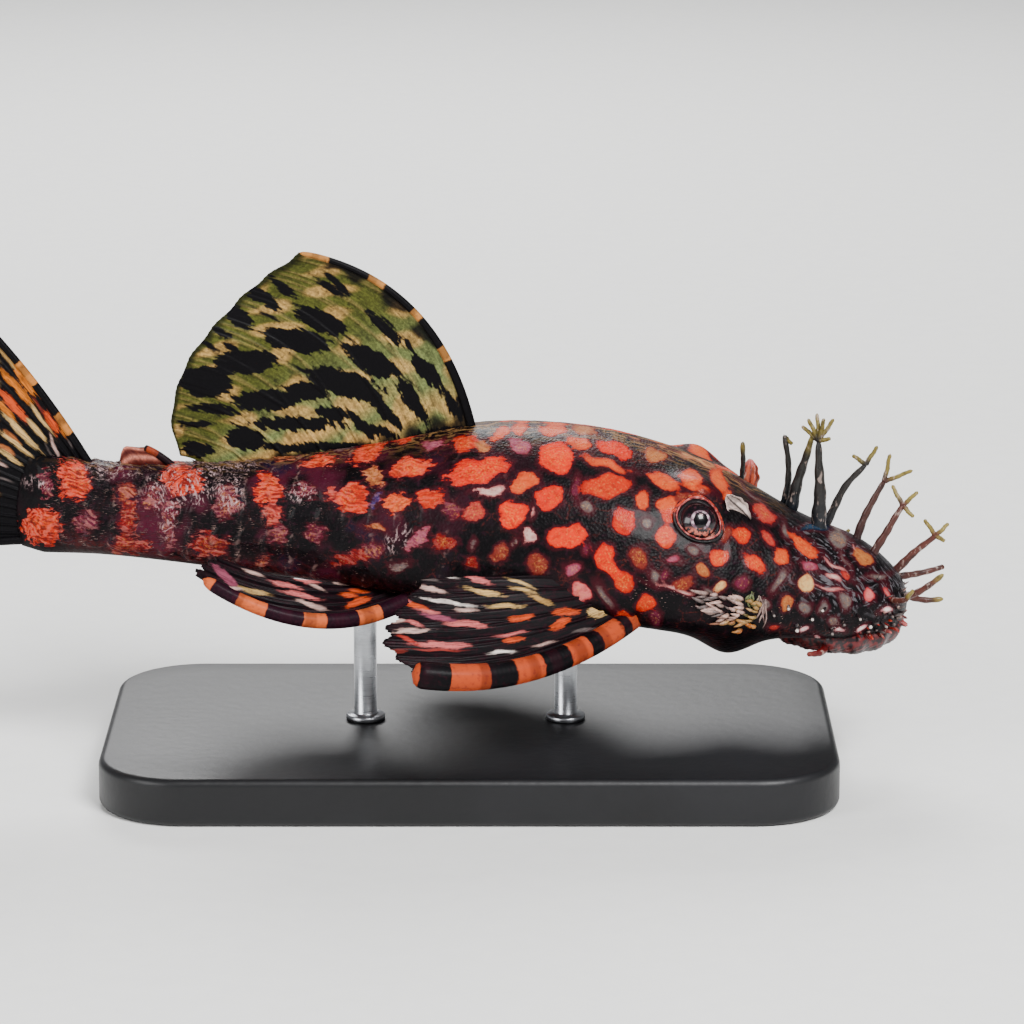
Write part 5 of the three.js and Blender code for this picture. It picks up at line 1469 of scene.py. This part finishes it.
def stand_base():
    """A flat block: a profile with rounded edges carried round a rectangle with arcs for corners."""
    arc = np.linspace(0, np.pi / 2, CORNER_STEPS)
    turns = np.concatenate([arc + quarter * np.pi / 2 for quarter in range(4)])
    signs = np.repeat([[1, 1], [-1, 1], [-1, -1], [1, -1]], len(arc), axis=0)
    corner = signs * [BASE_LONG / 2 - BASE_CORNER, BASE_WIDE / 2 - BASE_CORNER]
    outward = np.stack([np.cos(turns), np.sin(turns)], axis=-1)
    round_edge = np.linspace(0, np.pi / 2, BEVEL_STEPS)
    inset = BASE_BEVEL * (1 - np.sin(round_edge))
    low = BASE_BEVEL * (1 - np.cos(round_edge))
    radii = BASE_CORNER - np.concatenate([[BASE_TOP_INSET], inset, inset[::-1], [BASE_TOP_INSET]])
    heights = np.concatenate([[0.0], low, BASE_HIGH - low[::-1], [BASE_HIGH]])
    rings = np.zeros((len(radii), len(turns), 3))
    rings[..., :2] = corner + radii[:, None, None] * outward
    rings[..., 2] = heights[:, None]
    return tube(rings)


def stand_rod(x):
    """An upright rod with a low collar at its foot: a stepped profile turned about its axis."""
    top = BELLY_HEIGHT - x * math.tan(PITCH) + ROD_SINK
    foot = BASE_HIGH + ROD_GAP
    collar = foot + COLLAR_HIGH
    profile = np.array([
        [ROD_RADIUS / 2, foot],
        [COLLAR_RADIUS - 0.15, foot],
        [COLLAR_RADIUS, foot + COLLAR_ROUNDING],
        [COLLAR_RADIUS, collar - COLLAR_ROUNDING],
        [COLLAR_RADIUS - 0.15, collar],
        [ROD_RADIUS + 0.15, collar + 0.04],
        [ROD_RADIUS, collar + 0.18],
        [ROD_RADIUS, (foot + top) / 2],
        [ROD_RADIUS, top - 0.2],
        [ROD_RADIUS - 0.2, top],
        [ROD_RADIUS / 4, top],
    ])
    turn = 2 * np.pi * np.arange(ROD_SIDES)[None, :] / ROD_SIDES
    radius, height = profile[:, :1], profile[:, 1:]
    rings = [x + radius * np.cos(turn), radius * np.sin(turn), height * np.ones_like(turn)]
    return tube(np.stack(rings, axis=-1))


class Value:
    """A socket whose value varies over a surface. Arithmetic on it adds Math nodes."""

    def __init__(self, finish, socket):
        self.finish = finish
        self.socket = socket

    def worked(self, operation, first, second):
        """A Math node's result on two values or numbers."""
        return self.finish.node("ShaderNodeMath", {"operation": operation}, {0: first, 1: second})

    def __add__(self, other):
        return self.worked("ADD", self, other)

    def __radd__(self, other):
        return self.worked("ADD", other, self)

    def __sub__(self, other):
        return self.worked("SUBTRACT", self, other)

    def __rsub__(self, other):
        return self.worked("SUBTRACT", other, self)

    def __mul__(self, other):
        return self.worked("MULTIPLY", self, other)

    def __rmul__(self, other):
        return self.worked("MULTIPLY", other, self)


# How many lumps of the noise that bends strokes fit in a metre
BEND_SCALE = 220.0


class Finish:
    """A material in the making: each call adds a node and gives back its output."""

    def __init__(self, name):
        self.material = bpy.data.materials.new(name)
        self.material.use_nodes = True
        self.tree = self.material.node_tree
        self.tree.nodes.clear()

    def node(self, kind, settings=None, sockets=None, output=0):
        """Adds a node, sets its settings first, then gives its sockets their values or links."""
        node = self.tree.nodes.new(kind)
        for name, value in (settings or {}).items():
            setattr(node, name, value)
        for key, value in (sockets or {}).items():
            socket = node.inputs[key]
            if isinstance(value, Value):
                self.tree.links.new(value.socket, socket)
            elif isinstance(value, np.ndarray):
                socket.default_value = (*value, 1.0)
            else:
                socket.default_value = value
        return Value(self, node.outputs[output]) if node.outputs else None

    def held(self, name, output="Fac"):
        """A number kept for each point of the mesh."""
        return self.node("ShaderNodeAttribute", {"attribute_name": name}, output=output)

    def held_colour(self, name):
        """A colour kept for each point of the mesh."""
        return self.held(name, "Color")

    def worked(self, operation, value):
        """A Math node's result on one value."""
        return self.node("ShaderNodeMath", {"operation": operation}, {0: value})

    def place(self, stretch=(1, 1, 1)):
        """The surface's place in its own object's coordinates, stretched."""
        at = self.node("ShaderNodeTexCoord", output="Object")
        return self.node("ShaderNodeMapping", {}, {"Vector": at, "Scale": stretch})

    def spread_over(self, across, along):
        """A place made of two numbers that follow the surface."""
        return self.node("ShaderNodeCombineXYZ", {}, {"X": across, "Y": along})

    def clouds(self, size, detail=3.0, place=None):
        """Soft noise whose lumps are about this many metres, or this many units of the place given."""
        sockets = {"Vector": place or self.place(), "Scale": 1 / size, "Detail": detail}
        return self.node("ShaderNodeTexNoise", {}, sockets)

    def strokes(self, width, length, turn, bend=0.0):
        """Noise drawn out into strokes of a width and length in metres, turned down ahead, which a
        slower noise bends to and fro by up to half the bend."""
        at = self.node("ShaderNodeTexCoord", output="Object")
        slow = self.node("ShaderNodeTexNoise", {}, {"Vector": at, "Scale": BEND_SCALE}, output="Color")
        moved = {0: slow, 1: (bend, bend, bend), 2: at}
        bent = self.node("ShaderNodeVectorMath", {"operation": "MULTIPLY_ADD"}, moved)
        sockets = {"Vector": bent, "Rotation": (0, turn, 0), "Scale": (length / width, 1, 1)}
        place = self.node("ShaderNodeMapping", {"vector_type": "TEXTURE"}, sockets)
        return self.clouds(width, 2.0, place)

    def grains(self, size):
        """Distance from the middles of packed grains of about this size."""
        return self.node("ShaderNodeTexVoronoi", {}, {"Vector": self.place(), "Scale": 1 / size})

    def seams(self, size, place):
        """Distance from the seams between packed cells of about this size."""
        settings = {"feature": "DISTANCE_TO_EDGE"}
        return self.node("ShaderNodeTexVoronoi", settings, {"Vector": place, "Scale": 1 / size})

    def step(self, value, low, high):
        """A smooth step from 0 at low to 1 at high."""
        settings = {"interpolation_type": "SMOOTHSTEP"}
        return self.node("ShaderNodeMapRange", settings, {"Value": value, "From Min": low, "From Max": high})

    def mix(self, share, first, second, way="MIX"):
        """Two colours mixed by a share, or the first multiplied by the second."""
        settings = {"data_type": "RGBA", "blend_type": way}
        return self.node("ShaderNodeMix", settings, {0: share, 6: first, 7: second}, output=2)

    def done(self, colour, roughness, relief=None, depth=0.0, specular=0.5, coat=(0.0, 0.03), metal=0.0):
        """Closes the material with one principled surface, over a relief from 0 to 1 whose depth is in
        metres, under a coat of a weight and a roughness."""
        sockets = {"Base Color": colour, "Roughness": roughness, "Metallic": metal}
        sockets.update({"Specular IOR Level": specular, "Coat Weight": coat[0], "Coat Roughness": coat[1]})
        if relief:
            raised = {"Height": relief, "Distance": depth, "Strength": 1.0}
            sockets["Normal"] = self.node("ShaderNodeBump", {}, raised)
        surface = self.node("ShaderNodeBsdfPrincipled", {}, sockets)
        self.node("ShaderNodeOutputMaterial", {}, {"Surface": surface})
        return self.material


def skin_ground(finish, edge, fine, grain, slow, feather):
    """The skin between its spots: black with umber, plum, mauve and indigo clouds and a net of dusky
    seams, a maroon halo round each spot, a red rim low on the flank, grey strokes on the snout,
    straw ones along the crest that are pale edges with a painted highlight, a liver-brown belly and an inky
    end at the tail's root."""
    mix, step, held = finish.mix, finish.step, finish.held
    tailward = held("tailward")
    snout = held("snout")
    ground = mix(step(slow, 0.46, 0.7), BLACK, UMBER)
    ground = mix(step(fine, 0.55, 0.72) * 0.45, ground, PLUM)
    ground = mix(tailward * step(finish.clouds(0.005, 2.0), 0.5, 0.66) * 0.55, ground, MAUVE)
    ground = mix(tailward * step(slow, 0.56, 0.7) * 0.7, ground, INDIGO)
    seams = 1 - step(finish.seams(0.0014, finish.place((0.8, 1, 1.1))), 0.02, 0.09)
    net = seams * step(slow, 0.47, 0.6) * step(grain, 0.4, 0.6) * (1 - snout)
    ground = mix(net * (0.3 - 0.2 * tailward), ground, DUSKY)
    ground = mix(step(edge, -0.42, -0.03) * 0.75, ground, MAROON)
    ground = mix(held("rim") * step(fine, 0.35, 0.6) * 0.7, ground, WINE)
    steeper = step(finish.strokes(0.00032, 0.0022, 1.3, bend=0.005), 0.57, 0.63)
    frost = step(feather, 0.57, 0.63) * step(slow, 0.44, 0.56)
    frost = frost + steeper * step(slow, 0.56, 0.44)
    ground = mix(snout * frost * 0.7, ground, ASH)
    # Straw strokes along the crest: pale ridge edges with a painted highlight on them
    crest = held("crest") * step(finish.strokes(0.0004, 0.004, 0.35, bend=0.003), 0.5, 0.58)
    ground = mix(crest * 0.7, ground, STRAW_AND_SHEEN)
    ground = mix(held("belly") * 0.8, ground, LIVER)
    return mix(held("tail_end") * 0.9, ground, INK)


def skin_spot(finish, edge, fine, grain, slow):
    """The skin's spots in their own colours: mottled and edged deeper, with warm grainy hearts and
    pale grains, and towards the tail broken into pale and dark hairs."""
    mix, step = finish.mix, finish.step
    own = finish.held_colour("spot_colour")
    tailward = finish.held("tailward")
    deeper = mix(1.0, own, paint(186, 92, 110), "MULTIPLY")
    spot = mix(step(fine, 0.46, 0.68) * 0.5, own, deeper)
    heart = step(edge, 0.12, 0.6) * step(slow, 0.36, 0.6) * step(grain, 0.4, 0.62)
    spot = mix(heart * 0.42, spot, mix(0.5, own, AMBER))
    spot = mix(step(grain, 0.58, 0.7) * 0.22, spot, CREAM)
    spot = mix((1 - step(edge, 0.02, 0.22)) * 0.8, spot, deeper)
    hairs = finish.strokes(0.00028, 0.0014, 0.2, bend=0.004)
    pale_hair = mix(0.3, own, BLUSH)
    spot = mix(tailward * step(hairs, 0.5, 0.6) * 0.6, spot, pale_hair)
    return mix(tailward * step(hairs, 0.5, 0.4) * 0.75, spot, GARNET)


def skin_finish():
    """Wet spotted skin: ground and spots parted at an edge that noise frays, more so tailwards, with
    pale flecks on the plates' edges, white strokes painted as glints of the spines in their patches, and a
    fine grain."""
    finish = Finish("spotted_skin")
    step, held, clouds = finish.step, finish.held, finish.clouds
    tailward = held("tailward")
    fine = clouds(0.0006, 4.0)
    grain = clouds(0.00022, 2.0)
    slow = clouds(0.0035, 3.0)
    brushed = clouds(0.0004, 3.0, finish.place((0.3, 1, 1)))
    feather = finish.strokes(0.00036, 0.003, 0.5, bend=0.005)
    fray = (fine - 0.5) * (0.5 + 0.7 * tailward) + (brushed - 0.5) * (0.2 + 2.0 * tailward)
    edge = held("spot_depth") + fray * held("spot_fray")
    cover = step(edge, -0.04, 0.07)
    ground = skin_ground(finish, edge, fine, grain, slow, feather)
    colour = finish.mix(cover, ground, skin_spot(finish, edge, fine, grain, slow))
    flecks = step(fine, 0.52, 0.62) * step(slow, 0.42, 0.6)
    colour = finish.mix(held("plate_edge") * tailward * flecks * 0.25, colour, PALE)
    # White strokes painted as glints of the tail's spines, in their patches
    white = step(finish.strokes(0.00022, 0.0012, 1.3, bend=0.003), 0.54, 0.6)
    white = white + step(finish.strokes(0.0002, 0.0009, -0.9, bend=0.003), 0.58, 0.63)
    spine_glints = white * step(held("frost"), 0.0, 0.35) * step(fine, 0.4, 0.5)
    colour = finish.mix(spine_glints * 0.5, colour, SPINE_GLINT)
    relief = 0.5 * finish.grains(0.00032) + 0.5 * fine + 0.25 * cover + 0.3 * feather * held("snout")
    roughness = 0.3 + 0.3 * fine + 0.12 * cover + 0.2 * held("tail_end")
    return finish.done(colour, roughness, relief, 0.00009, specular=0.08, coat=(0.04, 0.06))


def spine_finish():
    """Hard ivory spines, tinted each by what it grows on, with a faint grain."""
    finish = Finish("spine_ivory")
    grain = finish.clouds(0.0003, 2.0)
    colour = finish.mix(finish.step(grain, 0.4, 0.7) * 0.35, finish.held_colour("tint"), DUSKY * 0.4)
    return finish.done(colour, 0.34 + 0.2 * grain, grain, 0.00002, specular=0.35)


def bristle_finish():
    """Fleshy bristles: their tint broken by pale upright specks, whitish streaks with a painted glint, by
    dark mottling and a fine grain.
    """
    finish = Finish("bristle_flesh")
    specks = finish.clouds(0.00045, 3.0, finish.place((1, 1, 0.45)))
    mottle = finish.clouds(0.0008, 3.0)
    relief = 0.5 * specks + 0.5 * finish.clouds(0.0002, 2.0)
    colour = finish.mix(finish.step(mottle, 0.5, 0.66) * 0.5, finish.held_colour("tint"), INK)
    # Pale upright specks: whitish streaks with a painted glint on them
    colour = finish.mix(finish.step(specks, 0.58, 0.68) * 0.45, colour, BONE_GLINT)
    return finish.done(colour, 0.3 + 0.3 * mottle, relief, 0.00006, specular=0.25, coat=(0.12, 0.1))


# How many times brighter a fin's lit grains are, by colour, and its joints' radians in a millimetre
FIN_GLOW = np.array([1.9, 1.9, 1.75])
JOINTS_ALONG = 13.0


def fin_finish(name, fibre, fibre_share):
    """Fin web and rays: the fin's own tint brightened by grains and fine streaks and striated by
    fibres, marks with frayed ends, joints across the rays as fine grooves, and a faint gloss."""
    finish = Finish(name)
    mix, step, held, clouds = finish.mix, finish.step, finish.held, finish.clouds
    spread = held("spread")
    run = held("run")
    threads = clouds(0.11, 3.0, finish.spread_over(spread, run * 0.05))
    streaks = clouds(0.06, 3.0, finish.spread_over(spread, run * 0.02))
    speckle = clouds(0.0005, 3.0)
    grain = clouds(0.00028, 2.0)
    fray = (threads - 0.5) * 1.3 + (speckle - 0.5) * 0.6
    edge = held("mark") + fray * held("mark_fray")
    tint = finish.held_colour("tint")
    lit = mix(1.0, tint, FIN_GLOW, "MULTIPLY")
    tint = mix(step(grain, 0.48, 0.6) * 0.55, tint, lit)
    tint = mix(step(streaks, 0.56, 0.66) * 0.6, tint, lit)
    colour = mix(step(threads, 0.45, 0.66) * fibre_share, tint, fibre)
    colour = mix(step(speckle, 0.54, 0.68) * fibre_share, colour, fibre)
    mark = mix(step(threads, 0.48, 0.62) * 0.45, finish.held_colour("mark_colour"), INK)
    mark = mix(step(speckle, 0.52, 0.7) * 0.35, mark, fibre)
    colour = mix(step(edge, -0.08, 0.1), colour, mark)
    joints = finish.worked("SINE", run * JOINTS_ALONG)
    relief = 0.6 * threads + 0.25 * speckle + 0.12 * joints * held("on_ray")
    return finish.done(colour, 0.42 + 0.25 * speckle, relief, 0.00006, specular=0.07, coat=(0.02, 0.15))


def eye_finish():
    """A glossy eye: a black pupil with a small pale lobe hanging into it, a silvery ring open
    below, a dark iris with pink flecks below, and a dark red rim."""
    finish = Finish("fish_eye")
    mix, step = finish.mix, finish.step
    off_axis = finish.held("off_axis")
    height = finish.held("height")
    below = 0.0 - height
    aside = finish.worked("ABSOLUTE", finish.held("beside"))
    fine = finish.clouds(0.0004, 3.0)
    wavering = off_axis + (fine - 0.5) * 0.22
    iris = mix(step(fine, 0.5, 0.66), paint(8, 4, 8), paint(46, 18, 28))
    embers = step(below, 0.6, 1.1) * step(fine, 0.44, 0.56)
    iris = mix(embers * 0.85, iris, paint(186, 96, 78))
    open_below = 1 - step(below, 0.35, 0.75) * (1 - step(aside, 0.25, 0.5))
    ring = step(wavering, 0.7, 0.8) * (1 - step(wavering, 0.92, 1.06)) * open_below
    silver = mix(step(fine, 0.36, 0.62), paint(96, 66, 80), SILVER)
    colour = mix(ring * (0.55 + 0.4 * step(aside, 0.2, 0.8)), iris, silver)
    lobe = step(height, 0.3, 0.42) * (1 - step(aside, 0.1, 0.24))
    lobe = lobe * (1 - step(height, 0.55, 0.68))
    colour = mix(1 - step(wavering, 0.68, 0.75), colour, PUPIL)
    colour = mix(lobe * 0.7, colour, paint(176, 136, 140))
    colour = mix(step(off_axis, 1.62, 1.8), colour, paint(40, 14, 18))
    return finish.done(colour, 0.2 + 0.1 * fine, specular=0.2, coat=(0.4, 0.03))


def orbit_finish():
    """Folded skin round the eye: one pink crest, dark creases within it with pink granules below,
    and outside it orange skin above and black below."""
    finish = Finish("orbit_skin")
    mix, step = finish.mix, finish.step
    reach = finish.held("reach")
    below = finish.held("below")
    fine = finish.clouds(0.0005, 3.0)
    lit = step(finish.held("crest") + (fine - 0.5) * 0.2, 0.3, 0.44)
    pale = mix(step(fine, 0.42, 0.62), paint(128, 44, 46), paint(206, 116, 110))
    outer = step(reach, 2.05, 2.2)
    colour = mix(lit * (0.3 + 0.7 * outer), paint(16, 5, 9), pale)
    inner = 1 - step(reach, 2.0, 2.25)
    granules = step(below, 0.35, 0.75) * inner * step(fine, 0.42, 0.56)
    colour = mix(granules * 0.85, colour, paint(208, 128, 108))
    skin = mix(step(fine, 0.42, 0.58), paint(92, 20, 16), SALMON)
    skin = mix(step(0.0 - below, -0.25, 0.35), BLACK, skin)
    colour = mix(step(reach, 2.4, 2.52), colour, skin)
    relief = 0.6 * fine + 0.4 * finish.grains(0.0003)
    return finish.done(colour, 0.34 + 0.2 * fine, relief, 0.00005, specular=0.25, coat=(0.1, 0.1))


def lip_finish():
    """Soft lips: near-black wine red, paler on their bumps, redder at the rim, with painted black shade in
    the cleft.
    """
    finish = Finish("lip_flesh")
    fine = finish.clouds(0.0005, 3.0)
    colour = finish.mix(finish.step(fine, 0.4, 0.7), paint(24, 8, 12), paint(56, 16, 20))
    colour = finish.mix(finish.step(finish.held("bumps"), 0.1, 0.9) * 0.45, colour, paint(120, 62, 58))
    colour = finish.mix(finish.held("rim") * finish.step(fine, 0.46, 0.6) * 0.5, colour, paint(112, 30, 30))
    # Painted shade: black where the cleft of the mouth opens
    colour = finish.mix(finish.held("cleft"), colour, INK)
    return finish.done(colour, 0.34 + 0.25 * fine, fine, 0.00008, specular=0.3, coat=(0.25, 0.12))


def base_finish():
    """Satin black lacquer with a faint orange-peel surface and dust-like variation in gloss."""
    finish = Finish("stand_lacquer")
    peel = finish.clouds(0.0012, 2.0)
    dust = finish.clouds(0.02, 5.0)
    colour = finish.mix(finish.step(dust, 0.4, 0.75), paint(14, 14, 16), paint(24, 24, 27))
    return finish.done(colour, 0.36 + 0.16 * dust, peel, 0.00003, specular=0.35)


def rod_finish():
    """Steel, finely turned: rings of small scratches round the rod."""
    finish = Finish("turned_steel")
    rings = finish.clouds(0.0004, 4.0, finish.place((0.15, 0.15, 4.0)))
    colour = finish.mix(rings, paint(150, 152, 156), STEEL)
    return finish.done(colour, 0.2 + 0.22 * rings, rings, 0.00001, metal=1.0)


def floor_finish():
    """Pale matt paper with a barely seen grain."""
    finish = Finish("studio_floor")
    grain = finish.clouds(0.003, 4.0)
    colour = finish.mix(grain, paint(228, 228, 226), paint(236, 236, 234))
    return finish.done(colour, 0.75 + 0.1 * grain, grain, 0.00005)


def mesh_object(name, shape, points, material):
    """A mesh object at the origin from a shape's faces and values, shaded smooth. Values of one number
    become point attributes, those of three colours, and uv the unwrap named OFBake."""
    mesh = bpy.data.meshes.new(name)
    mesh.vertices.add(len(points))
    mesh.vertices.foreach_set("co", points.astype(np.float32).reshape(-1))
    corners = np.concatenate([shape.quads.reshape(-1), shape.triangles.reshape(-1)])
    sizes = np.concatenate([np.full(len(shape.quads), 4), np.full(len(shape.triangles), 3)])
    mesh.loops.add(len(corners))
    mesh.loops.foreach_set("vertex_index", corners.astype(np.int32))
    mesh.polygons.add(len(sizes))
    mesh.polygons.foreach_set("loop_start", (np.cumsum(sizes) - sizes).astype(np.int32))
    mesh.polygons.foreach_set("use_smooth", np.ones(len(sizes), bool))
    for key, value in shape.values.items():
        if key == "uv":
            layer = mesh.uv_layers.new(name="OFBake")
            layer.data.foreach_set("uv", value[corners].astype(np.float32).reshape(-1))
        elif value.ndim == 2:
            held = mesh.attributes.new(key, "FLOAT_COLOR", "POINT")
            colours = np.concatenate([value, np.ones((len(value), 1))], axis=1)
            held.data.foreach_set("color", colours.astype(np.float32).reshape(-1))
        else:
            held = mesh.attributes.new(key, "FLOAT", "POINT")
            held.data.foreach_set("value", value.astype(np.float32))
    mesh.update(calc_edges=True)
    mesh.validate()
    mesh.materials.append(material)
    piece = bpy.data.objects.new(name, mesh)
    bpy.context.scene.collection.objects.link(piece)
    return piece


def fish_piece(name, shape, material, nodes=()):
    """A piece of the fish, put into the world from the fish's own frame."""
    piece = mesh_object(name, shape, in_world(shape.points), material)
    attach(piece, "root")
    if nodes:
        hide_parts(*nodes)


def stand_piece(name, shape, material, node):
    """A piece of the stand, whose shape is already in world millimetres."""
    piece = mesh_object(name, shape, shape.points * MM, material)
    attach(piece, "root")
    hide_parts(node)


# The pieces
ivory = spine_finish()
flesh = bristle_finish()
sail = fin_finish("sail_web", INK, 0.42)
paddle = fin_finish("paddle_web", MAUVE * 0.5, 0.2)
eye_gloss = eye_finish()
orbit_flesh = orbit_finish()
lip_flesh = lip_finish()
steel = rod_finish()

fish_piece("body_skin", skin_shape(), skin_finish(), ["snout", "head", "trunk", "tail"])
fish_piece("plate_spine_coat", plate_spines(), ivory)
fish_piece("head_spine_coat", head_spines(), ivory)
fish_piece("cheek_spine_fans", cheek_spines(), ivory)
fish_piece("branched_bristles", bristle_shapes(), flesh)
fish_piece("edge_bristles", edge_bristles(), flesh)
fish_piece("lip_fringe", lip_fringe(), flesh)
fish_piece("snout_tufts", snout_tufts(), flesh)
fish_piece("sucker_disc", sucker_disc(), lip_flesh, ["sucker_mouth"])
fish_piece("mouth_barbels", barbels(), flesh)
fish_piece("dorsal_sail", dorsal_fin(), sail, ["dorsal_fin"])
fish_piece("tail_fan", caudal_fin(), sail, ["caudal_fin"])
fish_piece("adipose_flap", adipose_fin(), paddle, ["adipose_fin"])
fish_piece("anal_flap", anal_fin(), paddle, ["anal_fin"])
for side_name, side in SIDES.items():
    fish_piece("eyeball_" + side_name, eyeball(side), eye_gloss, ["eye_" + side_name])
    fish_piece("orbit_" + side_name, orbit_rings(side), orbit_flesh)
    fish_piece("nostril_flap_" + side_name, nostril_flap(side), flesh)
    breast = pectoral_fin(side)
    fish_piece("breast_paddle_" + side_name, breast, paddle, ["pectoral_fin_" + side_name])
    belly = pelvic_fin(side)
    fish_piece("belly_paddle_" + side_name, belly, paddle, ["pelvic_fin_" + side_name])
stand_piece("lacquered_base", stand_base(), base_finish(), "stand_base")
for rod_name, rod_x in ROD_PLACES.items():
    stand_piece("steel_rod_" + rod_name, stand_rod(rod_x), steel, "stand_rod_" + rod_name)


# Studio: the floor, each lamp's name, place, size and watts, the sky's light and the camera's reach
FLOOR_HALF = 3000.0
FLOOR_POINTS = 9
LAMPS = [
    ("key", (250, -420, 520), 260, 9.0),
    ("fill", (-480, -380, 260), 300, 3.0),
    ("rim", (-60, 480, 420), 300, 4.4),
]
WORLD_LIGHT = 0.22
WORLD_COLOUR = (0.95, 0.97, 1.0, 1.0)
SIGHT_LIMIT = 20.0


def studio_floor():
    """A flat square sheet far wider than the view, with its top at the stand's foot."""
    place = np.linspace(-FLOOR_HALF, FLOOR_HALF, FLOOR_POINTS)
    x, y = np.meshgrid(place, place, indexing="ij")
    points = np.stack([x, y, 0 * x], axis=-1).reshape(-1, 3)
    sheet = Shape(points, grid_quads(FLOOR_POINTS, FLOOR_POINTS))
    floor = mesh_object("floor", sheet, points * MM, floor_finish())


def turned_to(thing, target):
    """Turns a lamp or camera so that it looks at a point."""
    thing.rotation_euler = (Vector(target) - thing.location).to_track_quat("-Z", "Y").to_euler()


def lamp(name, place, size, watts):
    """A square soft light that faces the fish."""
    data = bpy.data.lights.new(name, "AREA")
    data.size = size * MM
    data.energy = watts
    thing = bpy.data.objects.new(name, data)
    thing.location = Vector(place) * MM
    turned_to(thing, Vector(AIM) * MM)
    bpy.context.scene.collection.objects.link(thing)


def camera():
    """The photo's view: straight at the right flank from a little above."""
    data = bpy.data.cameras.new("photo_view")
    data.lens = LENS
    data.sensor_width = SENSOR_WIDTH
    data.clip_end = SIGHT_LIMIT
    thing = bpy.data.objects.new("photo_view", data)
    thing.location = Vector(AIM - VIEW * CAMERA_DISTANCE) * MM
    turned_to(thing, Vector(AIM) * MM)
    bpy.context.scene.collection.objects.link(thing)
    bpy.context.scene.camera = thing


def soft_sky():
    """An even pale light from all round."""
    world = bpy.data.worlds.new("studio")
    world.use_nodes = True
    background = world.node_tree.nodes["Background"]
    background.inputs["Color"].default_value = WORLD_COLOUR
    background.inputs["Strength"].default_value = WORLD_LIGHT
    bpy.context.scene.world = world


studio_floor()
for lamp_row in LAMPS:
    lamp(*lamp_row)
camera()
soft_sky()

bpy.context.view_layer.update()
